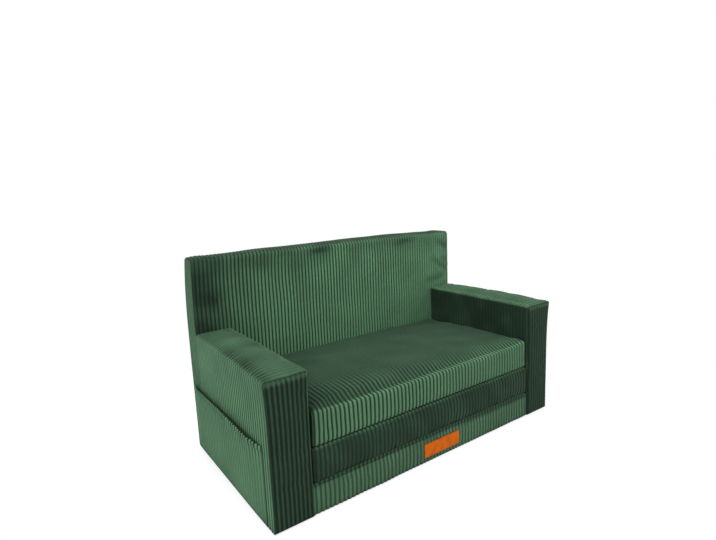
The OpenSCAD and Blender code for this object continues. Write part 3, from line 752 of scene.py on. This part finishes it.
# Middle block: a second foam slab that folds forward with the top block on it, hinged along its lower front
# edge. Its cover is the same corduroy, painted darker on its front and ends as painted sheen and painted shade.
middle_half = arm_inner - 0.0036
middle_rear = rear_plane - back_thick - 0.0011
middle_low, middle_high = base_top + cover_gap, 0.151
pushed_right = 0.0030
block_slot_half = 0.2840


# Painted sheen and shade on the middle block's cloth: its front darker, and painted shade on its ends and beside
# the left arm, in the gap between them.
def middle_lie(place, facing, seam_far):
    patch = drift(place, 91, 0.10)
    front, side = np.maximum(-facing[:, 1], 0) ** 2, facing[:, 0] ** 2
    arm_gap_shade = np.exp(-(place[:, 0] + middle_half) / 0.010)
    nap_sheen_and_shade = 0.5 - 0.46 * front - 0.4 * side - 0.4 * arm_gap_shade + 0.05 * patch
    return np.clip(nap_sheen_and_shade, 0, 1), np.clip(0.65 + 0.12 * patch, 0, 1), 1


middle_cover = ribbed_cover("middle_corduroy", (pushed_right - middle_half, seat_front + front_hollow, middle_low),
                            (pushed_right + middle_half, middle_rear, middle_high - 0.002), 0, rise=0.002,
                            drop=0.002, seam=0.005, give=((0.001, 0.0005), (0.002, 0), (0, 0)), seed=41,
                            lie=middle_lie,
                            zip_slot=((middle_low + middle_high) / 2, block_slot_half, middle_rear - 0.0041))
middle_cover.data.materials.append(green_cord)
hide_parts("middle_cover")
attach(middle_cover, "middle_block")

# Top block: the seat cushion, a crowned foam block with a soft waterfall front edge, hinged to the middle
# block along its lower rear edge. The ribs of its cover run from front to rear.
top_half = arm_inner - 0.005
top_low, top_edge, top_crown = middle_high + cover_gap, 0.233, 0.006
top_pushed = 0.0042


# Painted sheen and shade on the seat's cloth: its top darker, lighter towards the front and right, a painted
# highlight along the front top fold, and painted shade on its ends and beside the left arm, in the gap between
# them. The second value keeps strong ribs and groove shade only near the front.
def top_lie(place, facing, seam_far):
    x, y = place[:, 0], place[:, 1]
    top, front = np.maximum(facing[:, 2], 0) ** 2, np.maximum(-facing[:, 1], 0) ** 2
    side = facing[:, 0] ** 2
    patch = drift(place, 101, 0.12)
    near = 1 - ease(y + 0.012 * patch - 0.30 * np.maximum(-x - 0.06, 0), seat_front + 0.012, seat_front + 0.065)
    fold_highlight = 4 * top * front
    arm_gap_shade = np.exp(-(x + top_half) / 0.014)
    rightward = ease(x, -0.15, 0.25)
    nap_sheen_and_shade = (0.68 * (1 - top) + top * (0.20 + (0.04 + 0.2 * rightward) * near - 0.10 * (1 - ease(x, -0.33, -0.12)))
           + 0.03 * patch * top + (0.14 + 0.2 * rightward) * fold_highlight - 0.5 * side - 0.5 * arm_gap_shade)
    relief = ((1 - top) * (1 - 0.35 * ease(x, -0.05, 0.3)) + top * (0.04 + 0.9 * near + 0.04 * patch) - 0.2 * side
              + 0.3 * fold_highlight)
    return np.clip(nap_sheen_and_shade + 0.02 * front, 0, 1), np.clip(relief, 0, 1), 1


top_cover = ribbed_cover("top_corduroy", (top_pushed - top_half, seat_front + front_hollow, top_low),
                         (top_pushed + top_half, middle_rear - cover_gap, top_edge), 0, rise=top_crown,
                         drop=0.015, seam=0.005, give=((0.001, 0.0005), (0.003, 0), (0, 0.005)), seed=51,
                         wander=0.0004, dents=0.0005, lie=top_lie, top_lean=(0.004, 0.012),
                         zip_slot=((top_low + top_edge) / 2, block_slot_half, middle_rear - 0.00445))
top_cover.data.materials.append(green_cord)
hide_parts("top_cover")
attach(top_cover, "top_block")

# Side pockets: one corduroy panel on each side, sewn to the sofa along its front, rear and lower edges and
# open at the top, where a folded hem with elastic in it draws the mouth into short gathers.
pocket_foot, pocket_slack, pocket_cloth, hem_height = 0.006, 0.008, 0.0016, 0.012
thin_cloth, inner_face = 0.0005, 0.4504


def stitch_row(name, path, way, long, gap, thick):
    """Single stitches of thread along a path, each a short raised bow that dips into the cloth at its ends."""
    path, way = np.array(path), np.array(way, dtype=float)
    run = np.concatenate([[0], np.cumsum(np.linalg.norm(np.diff(path, axis=0), axis=1))])
    points, quads, triangles = [], [], []
    for number in range(int(run[-1] // (long + gap))):
        begin = number * (long + gap) + gap / 2
        base = len(points)
        for ring in range(5):
            t = ring / 4
            here, there = (np.array([np.interp(begin + long * (t + d), run, path[:, k]) for k in range(3)])
                           for d in (-0.05, 0.05))
            ahead = (there - here) / np.linalg.norm(there - here)
            aside = np.cross(way, ahead)
            bow = math.sin(math.pi * t)
            centre = (here + there) / 2 + way * thick * (0.55 * bow - 0.3)
            radius = thick / 2 * (0.55 + 0.45 * bow)
            for k in range(6):
                turn = k * math.pi / 3
                points.append(centre + radius * (way * math.cos(turn) + aside * math.sin(turn)))
        for ring in range(4):
            for k in range(6):
                a, b = base + ring * 6 + k, base + ring * 6 + (k + 1) % 6
                quads.append((a, b, b + 6, a + 6))
        for k in range(1, 5):
            triangles.append((base, base + k + 1, base + k))
            triangles.append((base + 24, base + 24 + k, base + 25 + k))
    piece = mesh_piece(name, np.array(points), quads, triangles)
    outward(piece)
    return piece


def sheet_shell(name, outer, inner, fields):
    """A thin closed cloth between two grids of points, with values kept for its material."""
    rows, cols = outer.shape[:2]
    count = rows * cols
    i, j = np.meshgrid(np.arange(rows - 1), np.arange(cols - 1), indexing="ij")
    face = quad_grid(i, j, j + 1, cols, -1)
    rim = [a * cols + b for a, b in border_loop(rows, cols)]
    wall = [(rim[k], rim[(k + 1) % len(rim)], rim[(k + 1) % len(rim)] + count, rim[k] + count)
            for k in range(len(rim))]
    piece = mesh_piece(name, np.concatenate([outer.reshape(-1, 3), inner.reshape(-1, 3)]),
                       np.concatenate([face, face[:, ::-1] + count, np.array(wall)]), [])
    keep_on_points(piece, {label: np.tile(value.reshape(-1), 2) for label, value in fields.items()
                           if label != "cloth"}, np.tile(fields["cloth"].reshape(-1, 2), (2, 1)))
    outward(piece)
    return piece


# The twist of a sewing thread: short darker flecks where its plies turn under and its bump is low, painted
# shade in the twist.
twist, given, made = effect("thread_twist", {"Place": "Vector", "Deep Colour": "Color", "Pale Colour": "Color"},
                            {"Colour": "Color", "Height": "Float"})
ply_turn = ranged(twist, noise(twist, given["Place"], 2500), 0.35, 0.65)
join(twist, made, {"Colour": mixed(twist, ply_turn, given["Deep Colour"], given["Pale Colour"]),
                   "Height": ply_turn})


def sewing_thread(name, deep, pale, roughness):
    """Spun polyester thread of one colour."""
    thread, tree = new_paint(name)
    made = add(tree, "Group", node_tree=twist).node
    join(tree, made, {"Place": add(tree, "TexCoord", out="Object"), "Deep Colour": deep, "Pale Colour": pale})
    finish(tree, {"Base Color": made.outputs["Colour"], "Roughness": roughness,
                  "Normal": relief_of(tree, made.outputs["Height"], 0.4, 0.0002)})
    return thread


green_thread = sewing_thread("green_thread", colour(34, 55, 40), colour(74, 108, 80), 0.7)

for side, name in ((-1, "left_pocket"), (1, "right_pocket")):
    wales = int(round((pocket_rear - pocket_front) / rib_pitch))
    y_rows = np.linspace(pocket_front, pocket_rear, wales * rib_steps + 1)
    z_rows = np.concatenate([
        pocket_foot + np.array([0, 0.001, 0.0025, 0.005]),
        np.linspace(pocket_foot + 0.010, pocket_mouth - 0.018, 23),
        pocket_mouth - np.array([0.0145, 0.0130, 0.0124, 0.0118, 0.0112, 0.0104, 0.0080, 0.0045, 0.0018, 0.0006,
                                 0])])
    yy, zz = np.meshgrid(y_rows, z_rows, indexing="ij")
    share = (yy - pocket_front) / (pocket_rear - pocket_front)
    spot = np.stack([np.full_like(yy, side * 0.45), yy, zz], -1).reshape(-1, 3)
    slack = pocket_slack * ease(share, 0, 0.17) * (1 - ease(share, 0.86, 1)) * ease(zz, pocket_foot - 0.01, 0.06)
    near_mouth = np.exp(-(pocket_mouth - zz) / 0.03)
    along_only = spot * np.array([0, 1, 0])
    puckers = drift(along_only, 205 + side, 0.016, 7).reshape(yy.shape)
    towards_front = 0.3 + 0.7 * (1 - ease(share, 0.35, 0.7))
    sewn = np.minimum(np.minimum(yy - pocket_front, pocket_rear - yy), zz - pocket_foot)
    flat_edge = 1 - np.exp(-sewn / 0.004)
    gather = 0.0006 * puckers * near_mouth * towards_front * ease(sewn, 0, 0.02)
    teeth = np.exp(-(pocket_mouth - zz) / 0.010) * towards_front * ease(sewn, 0, 0.008)
    soft = 0.0012 * drift(spot, 215 + side, 0.12).reshape(yy.shape) * ease(sewn, 0, 0.04)
    hem = ease(zz, pocket_mouth - hem_height - 0.0004, pocket_mouth - hem_height + 0.0010)
    stitched = np.exp(-((zz - (pocket_mouth - hem_height)) / 0.0009) ** 2)
    wale = rib_form(yy / rib_pitch, 1.0)
    roll = 1 - 0.5 * ease(zz, pocket_mouth - 0.0020, pocket_mouth)
    slump = 0.0025 * np.exp(-(zz - pocket_foot) / 0.04) * ease(sewn, 0, 0.02)
    x_in = inner_face + slack + gather + soft * (zz < pocket_mouth) + 0.0014 * teeth * wale + slump
    thick = (thin_cloth + (pocket_cloth - thin_cloth + 0.0012 * hem) * flat_edge) * roll
    ribs = (0.0015 + 0.0007 * teeth) * (1 - wale) * flat_edge * (1 - 0.4 * hem * (1 - teeth)) * roll
    x_out = x_in + thick + 0.0006 - ribs - 0.0006 * stitched * flat_edge
    dip = (0.0035 * np.sin(np.pi * share) * near_mouth
           - 0.0026 * (1 - wale) * teeth * np.exp(-(pocket_mouth - zz) / 0.005))
    outer = np.stack([side * x_out, yy, zz + dip], -1)
    inner = np.stack([side * (x_in + 0.0006 * (1 - roll)), yy, zz + dip], -1)
    patch = drift(spot, 225 + side, 0.13).reshape(yy.shape)
    # The pocket's colour: its sheen-and-shade value a little darker on the hem and painted shade along the floor;
    # its seam value paints shade along the sewn edges, the stitch line and the grooves between the gathers; and the
    # rib shading is painted stronger near the mouth.
    fields = dict(wale=wale,
                  seam=np.maximum(np.exp(-sewn / 0.0026), np.maximum(0.7 * stitched, (1 - wale) * teeth)),
                  nap_sheen_and_shade=full_nap_sheen * np.clip((0.96 + 0.08 * patch - 0.1 * hem)
                                         * (0.5 + 0.5 * ease(zz, pocket_foot, 0.022)), 0, 1),
                  relief=np.clip(0.28 + 0.1 * patch + 0.25 * near_mouth * towards_front + 0.6 * teeth, 0, 1),
                  cloth=np.stack([yy, zz], -1))
    pocket = sheet_shell(name + "_corduroy", outer, inner, fields)
    pocket.data.materials.append(green_cord)
    line = int(np.argmin(np.abs(z_rows - (pocket_mouth - hem_height))))
    thread = stitch_row(name + "_hem_thread", outer[6:-6:4, line] + np.array([side * 0.0003, 0, 0]), (side, 0, 0),
                        0.0031, 0.0012, 0.0007)
    thread.data.materials.append(green_thread)
    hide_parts(name)
    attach(pocket, "frame")
    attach(thread, "frame")

# Label: a blank patch of orange leather sewn to the base block's front with a thread of a paler tan. Its cut
# edge is painted darker, and the stitches are pulled down into a shallow groove.
label_x, label_low, label_wide, label_tall, label_round = 0.016, 0.016, 0.122, 0.037, 0.003
stitch_inset, label_clear = 0.0034, 0.0003


def base_front(x, z):
    half_z = (base_top - floor_clear) / 2
    return (seat_front + front_hollow
            - front_hollow * crown(x / base_half) * crown((z - floor_clear - half_z) / half_z))


def rounded_patch(wide, tall, corner, columns, rows):
    """Grid places of a patch with round corners, and how far each is from its edge."""
    u = np.linspace(-wide / 2, wide / 2, columns)
    v = np.linspace(-tall / 2, tall / 2, rows)
    edge_rows = np.array([0, 0.0004, 0.0012])
    u = np.concatenate([-wide / 2 + edge_rows, u[1:-1], wide / 2 - edge_rows[::-1]])
    v = np.concatenate([-tall / 2 + edge_rows, v[1:-1], tall / 2 - edge_rows[::-1]])
    uu, vv = np.meshgrid(u, v, indexing="ij")
    return (*rounded_corners(uu, vv, wide / 2, tall / 2, corner),
            np.minimum(wide / 2 - np.abs(uu), tall / 2 - np.abs(vv)))


x, z, to_edge = rounded_patch(label_wide, label_tall, label_round, 62, 26)
x, z = x + label_x, z + label_low + label_tall / 2
face_y = base_front(x, z)
groove = np.exp(-((to_edge - stitch_inset) / 0.0008) ** 2)
swell = 0.00025 * np.sin(x * 2 * math.pi / rib_pitch) * np.exp(-((to_edge - 0.004) / 0.006) ** 2)
lift = 0.0013 * (1 - 0.55 * np.exp(-to_edge / 0.0004)) - 0.00028 * groove + swell
outer = np.stack([x, face_y - label_clear - lift, z], -1)
inner = np.stack([x, face_y - label_clear, z], -1)
label = sheet_shell("label_patch_leather", outer, inner,
                    dict(rim=np.exp(-to_edge / 0.0007), groove=groove, cloth=np.stack([x, z], -1)))


def two_tone(tree, share, low, high, start=0, end=1):
    """A colour that runs from one tone to another as the share goes from start to end."""
    tone = add(tree, "ValToRGB", {"Fac": share})
    for number, (place, paint) in enumerate(((start, low), (end, high))):
        stop = tone.node.color_ramp.elements[number]
        stop.position, stop.color = place, paint
    return tone


leather, tree = new_paint("orange_leather")
skin_place = add(tree, "TexCoord", out="Object")
pores = add(tree, "TexVoronoi", {"Vector": skin_place, "Scale": 900}, out="Distance", feature="DISTANCE_TO_EDGE")
clouds = noise(tree, skin_place, 60, 5)
rim, groove = (add(tree, "Attribute", out="Fac", attribute_name=label) for label in ("rim", "groove"))
finish(tree, {"Base Color": mixed(tree, calculated(tree, "MULTIPLY_ADD", groove, 0.35, rim),
                                  two_tone(tree, clouds, colour(212, 96, 0), colour(232, 118, 4), 0.3, 0.7),
                                  colour(112, 44, 12)),
              "Normal": relief_of(tree, ranged(tree, pores, 0, 0.12), 0.35, 0.00025),
              "Roughness": ranged(tree, clouds, 0, 1, 0.42, 0.6), "Specular IOR Level": 0.12})
label.data.materials.append(leather)

wide, tall, bend = label_wide / 2 - stitch_inset, label_tall / 2 - stitch_inset, 0.002
loop = []
for cx, cz, turn in ((wide - bend, tall - bend, 0), (-wide + bend, tall - bend, 90),
                     (-wide + bend, -tall + bend, 180), (wide - bend, -tall + bend, 270)):
    for k in range(7):
        angle = math.radians(turn + 15 * k)
        loop.append((label_x + cx + bend * math.cos(angle),
                     label_low + label_tall / 2 + cz + bend * math.sin(angle)))
loop.append(loop[0])
path = []
for (xa, za), (xb, zb) in zip(loop[:-1], loop[1:]):
    steps = max(1, int(math.hypot(xb - xa, zb - za) / 0.003))
    path += [(xa + (xb - xa) * k / steps, za + (zb - za) * k / steps) for k in range(steps)]
path.append(loop[-1])
path = [(px, float(base_front(px, pz)) - 0.00135, pz) for px, pz in path]
label_thread = stitch_row("label_stitches", path, (0, -1, 0), 0.0030, 0.0011, 0.00085)
tan_thread = sewing_thread("tan_thread", colour(196, 116, 46), colour(236, 160, 82), 0.65)
label_thread.data.materials.append(tan_thread)
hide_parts("label_patch")
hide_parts("label_stitching")
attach(label, "frame")
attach(label_thread, "frame")

# Hinges: a sewn band of the same cloth along each fold line, sunk between the rounded edges of the two blocks
# that it joins.
band_half = 0.0044


def hinge_band(name, half, face_y, way, z, nap_sheen_and_shade):
    """One band of cloth with upright ribs."""
    x_rows = np.linspace(-half, half, int(round(2 * half / (rib_pitch / rib_steps))) + 1)
    z_rows = np.array([-band_half, -0.0040, -0.0032, -0.0022, -0.0011, 0, 0.0011, 0.0022, 0.0032, 0.0040,
                       band_half])
    xx, zz = np.meshgrid(x_rows, z_rows, indexing="ij")
    wale = rib_form(xx / rib_pitch, 1.0)
    sunk = 0.0011 + 0.0013 * (1 - (np.abs(zz) / band_half) ** 2) + 0.0011 * (1 - wale)
    y = face_y - way * sunk
    tied = np.exp(-(half - np.abs(xx)) / 0.003)
    outer = np.stack([xx, y - way * 0.001 * tied, z + zz], -1)
    inner = outer + np.array([0, -way * 0.0009, 0])
    # The band is painted mostly in the shaded copy of the cloth, and its seam value paints shade at its ends and
    # along its edges, where it sinks between the blocks.
    band = sheet_shell(name, outer, inner, dict(
        wale=wale, seam=np.maximum(tied, 0.8 * np.exp(-((band_half - np.abs(zz)) / 0.0012) ** 2)),
        nap_sheen_and_shade=full_nap_sheen * (nap_sheen_and_shade[0] + (nap_sheen_and_shade[1] - nap_sheen_and_shade[0]) * (zz + band_half) / (2 * band_half)),
        relief=np.full_like(xx, 0.85), cloth=np.stack([xx, zz], -1)))
    band.data.materials.append(green_cord)
    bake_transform(band)
    return band


front_hinge = hinge_band("front_hinge_corduroy", middle_half - 0.014, seat_front + 0.0012, -1,
                         (base_top + middle_low) / 2,
                         (0.2, 0.08))
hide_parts("front_hinge_strip")
rear_hinge = hinge_band("rear_hinge_corduroy", top_half - 0.014, middle_rear, 1, (middle_high + top_low) / 2,
                        (0.4, 0.4))
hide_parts("rear_hinge_strip")

# Zips: a nylon coil zip in the rear of the back, of the middle block and of the top block, so that each
# cover comes off for washing. The woven tape lies in a slot of the cover; the coil stands on it.
tape_paint, tree = new_paint("zip_tape_weave")
weave = add(tree, "TexWave", {"Vector": add(tree, "UVMap", uv_map="cloth"), "Scale": 520, "Distortion": 1.2},
            out="Fac", wave_type="BANDS", bands_direction="DIAGONAL")
finish(tree, {"Base Color": two_tone(tree, weave, colour(20, 32, 24), colour(46, 66, 50)),
              "Normal": relief_of(tree, weave, 0.4, 0.0002), "Roughness": 0.8})

coil_paint, tree = new_paint("zip_coil_nylon")
streaks = noise(tree, add(tree, "TexCoord", out="Object"), 300)
finish(tree, {"Base Color": two_tone(tree, streaks, colour(24, 38, 29), colour(52, 76, 58)), "Roughness": 0.35})

slider_enamel, tree = new_paint("slider_enamel")
wear = noise(tree, add(tree, "TexCoord", out="Object"), 700, 4)
finish(tree, {"Base Color": two_tone(tree, wear, colour(48, 58, 52), colour(120, 124, 118), 0.55, 0.75),
              "Roughness": ranged(tree, wear, 0, 1, 0.3, 0.5), "Metallic": 0.6})


def pick_faces(test):
    """Selects the faces of the piece in edit mode that pass a test of their middle and normal."""
    bpy.ops.mesh.select_mode(type="FACE")
    shape = bmesh.from_edit_mesh(bpy.context.object.data)
    shape.select_mode = {"FACE"}
    for face in shape.faces:
        face.select_set(bool(test(face.calc_center_median(), face.normal)))
    shape.select_flush_mode()
    bmesh.update_edit_mesh(bpy.context.object.data)


def small_block(name, place, size):
    """A block at its place and size, left in edit mode to be shaped."""
    bpy.ops.mesh.primitive_cube_add(size=1, location=place)
    block = bpy.context.object
    block.name = name
    block.scale = size
    bpy.ops.object.transform_apply(location=True, rotation=True, scale=True)
    bpy.ops.object.mode_set(mode="EDIT")
    return block


def rounded_off(block, width, segments=2):
    """Leaves edit mode, rounds the block's edges and shades it smooth between them."""
    bpy.ops.object.mode_set(mode="OBJECT")
    bevel = block.modifiers.new("bevel", "BEVEL")
    bevel.width = width
    bevel.segments = segments
    bpy.ops.object.modifier_apply(modifier="bevel")
    bpy.ops.object.shade_smooth_by_angle(angle=math.radians(40))
    bpy.ops.object.select_all(action="DESELECT")


def cast_part(name, place, size, inset, depth, rounding, end=0, narrow=1):
    """An enamelled part of a zip: a block narrowed towards one end, its outer face inset, its edges rounded."""
    part = small_block(name, place, size)
    if end:
        pick_faces(lambda middle, facing: end * facing.x > 0.9)
        bpy.ops.transform.resize(value=(1, 1, narrow),
                                 center_override=(place[0] + end * size[0] / 2, place[1], place[2]))
    pick_faces(lambda middle, facing: facing.y > 0.9)
    bpy.ops.mesh.inset(thickness=inset, depth=depth)
    rounded_off(part, rounding)
    part.data.materials.append(slider_enamel)
    return part


coil_step, tape_bed = 0.0026, 0.0039
for name, body, slider_body, half, place_y, place_z in (
        ("back_zip", "frame", "back_slider", 0.3195, rear_plane - 0.001, 0.034),
        ("middle_zip", "middle_block", "middle_slider", 0.27085, middle_rear, (middle_low + middle_high) / 2),
        ("top_zip", "top_block", "top_slider", 0.27085, middle_rear - 0.00035, (top_low + top_edge) / 2)):
    tape_y = place_y - tape_bed
    xx, zz = np.meshgrid(np.linspace(-half, half, 120), np.linspace(-0.0052, 0.0052, 5), indexing="ij")
    tape_face = np.stack([xx, np.full_like(xx, tape_y + 0.0006), place_z + zz], -1)
    tape = sheet_shell(name + "_tape", tape_face, tape_face - np.array([0, 0.0004, 0]),
                       dict(cloth=np.stack([xx, zz], -1)))
    tape.data.materials.append(tape_paint)
    bpy.ops.mesh.primitive_cylinder_add(vertices=6, radius=0.0009, depth=coil_step,
                                        location=(0.0053 - half, tape_y + 0.0013, place_z + 0.0005))
    coil = bpy.context.object
    coil.name = name + "_coil"
    bpy.ops.object.transform_apply(location=True, rotation=True, scale=True)
    bpy.ops.object.mode_set(mode="EDIT")
    pick_faces(lambda middle, facing: abs(facing.z) > 0.9)
    bpy.ops.mesh.inset(thickness=0.0005, depth=0.0008)
    bpy.ops.mesh.select_all(action="SELECT")
    bpy.ops.mesh.duplicate_move(TRANSFORM_OT_translate={"value": (coil_step, 0, -0.0010)})
    bpy.ops.object.mode_set(mode="OBJECT")
    pairs = coil.modifiers.new("pairs", "ARRAY")
    pairs.count = int((half - 0.004) / coil_step)
    pairs.use_relative_offset = False
    pairs.use_constant_offset = True
    pairs.constant_offset_displace = (2 * coil_step, 0, 0)
    bpy.ops.object.modifier_apply(modifier="pairs")
    bpy.ops.object.shade_smooth_by_angle(angle=math.radians(50))
    coil.data.materials.append(coil_paint)
    bpy.ops.object.select_all(action="DESELECT")
    stops = [cast_part(name + ending, (side * (half - 0.0015), tape_y + 0.0015, place_z), (0.003, 0.0018, 0.0062),
                       0.0007, -0.0004, 0.0004) for side, ending in ((-1, "_low_stop"), (1, "_high_stop"))]
    slider_x = half - 0.00875
    slider = cast_part(name + "_slider_body", (slider_x, place_y - 0.00175, place_z), (0.011, 0.0022, 0.0092),
                       0.0026, 0.0007, 0.0005, end=-1, narrow=0.62)
    pull = cast_part(name + "_pull_tab", (slider_x - 0.0105, place_y - 0.0002, place_z), (0.017, 0.0009, 0.0052),
                     0.0010, -0.0002, 0.0002, end=1, narrow=0.6)
    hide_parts(name)
    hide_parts(name + "_slider")
    for part in [tape, coil] + stops:
        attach(part, body)
    for part in (slider, pull):
        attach(part, slider_body)

# Foam cores: a plain block of pale open-celled foam in each cover, with its edges trimmed round. They show
# only when a cover is unzipped.
foam_paint, tree = new_paint("cream_foam")
# The foam is painted darker towards the middle of each cell, where its bump sinks: painted shade in the open pores.
cells = add(tree, "TexVoronoi", {"Vector": add(tree, "TexCoord", out="Object"), "Scale": 700}, out="Distance")
finish(tree, {"Base Color": two_tone(tree, cells, colour(214, 200, 158), colour(242, 230, 192)),
              "Normal": relief_of(tree, cells, 0.5, 0.0004), "Roughness": 0.9})
foam_gap, foam_gap_above = 0.0015, 0.0050
for name, body, trim, clear_above, rear_fall in (
        ("base_foam", "frame", 0.006, foam_gap, 0), ("back_foam", "frame", 0.006, foam_gap_above, 0),
        ("left_arm_foam", "frame", 0.006, foam_gap, 0), ("right_arm_foam", "frame", 0.006, foam_gap, 0),
        ("middle_foam", "middle_block", 0.006, foam_gap, 0),
        ("top_foam", "top_block", 0.014, foam_gap_above, 0.012)):
    low, high = (Vector(corner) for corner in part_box(name))
    low, high = low + Vector((foam_gap, foam_gap, foam_gap)), high - Vector((foam_gap, foam_gap, clear_above))
    core = small_block(name + "_core", (low + high) / 2, high - low)
    bpy.ops.mesh.select_all(action="SELECT")
    bpy.ops.mesh.bevel(offset=trim, segments=4, affect="EDGES")
    rounded_off(core, 0.0008, 1)
    for spot in core.data.vertices:
        share = (spot.co.z - low.z) / (high.z - low.z) * (spot.co.y - low.y) / (high.y - low.y)
        spot.co.z -= rear_fall * share
    core.data.materials.append(foam_paint)
    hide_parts(name)
    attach(core, body)

# Underside: the non-slip sheet sewn below the fixed blocks, of dark bonded cloth with soft rubber dots that
# are a little shinier. Its own form is right and stays.
dot_height_low, dot_height_high = 0.0003, 0.00045
sole, tree = new_paint("non_slip_cloth")
sole_place = add(tree, "TexCoord", out="Object")
felt = noise(tree, sole_place, 900, 4)
dot = ranged(tree, add(tree, "SeparateXYZ", {0: sole_place}, out="Z"), dot_height_high, dot_height_low)
felt_tone = two_tone(tree, felt, colour(28, 31, 29), colour(62, 66, 62), 0.35, 0.7)
finish(tree, {"Base Color": mixed(tree, dot, felt_tone, colour(22, 24, 23)),
              "Normal": relief_of(tree, felt, 0.3, 0.0003), "Roughness": ranged(tree, dot, 0, 1, 0.92, 0.45)})
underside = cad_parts["underside_sheet"]
underside.data.materials.clear()
underside.data.materials.append(sole)
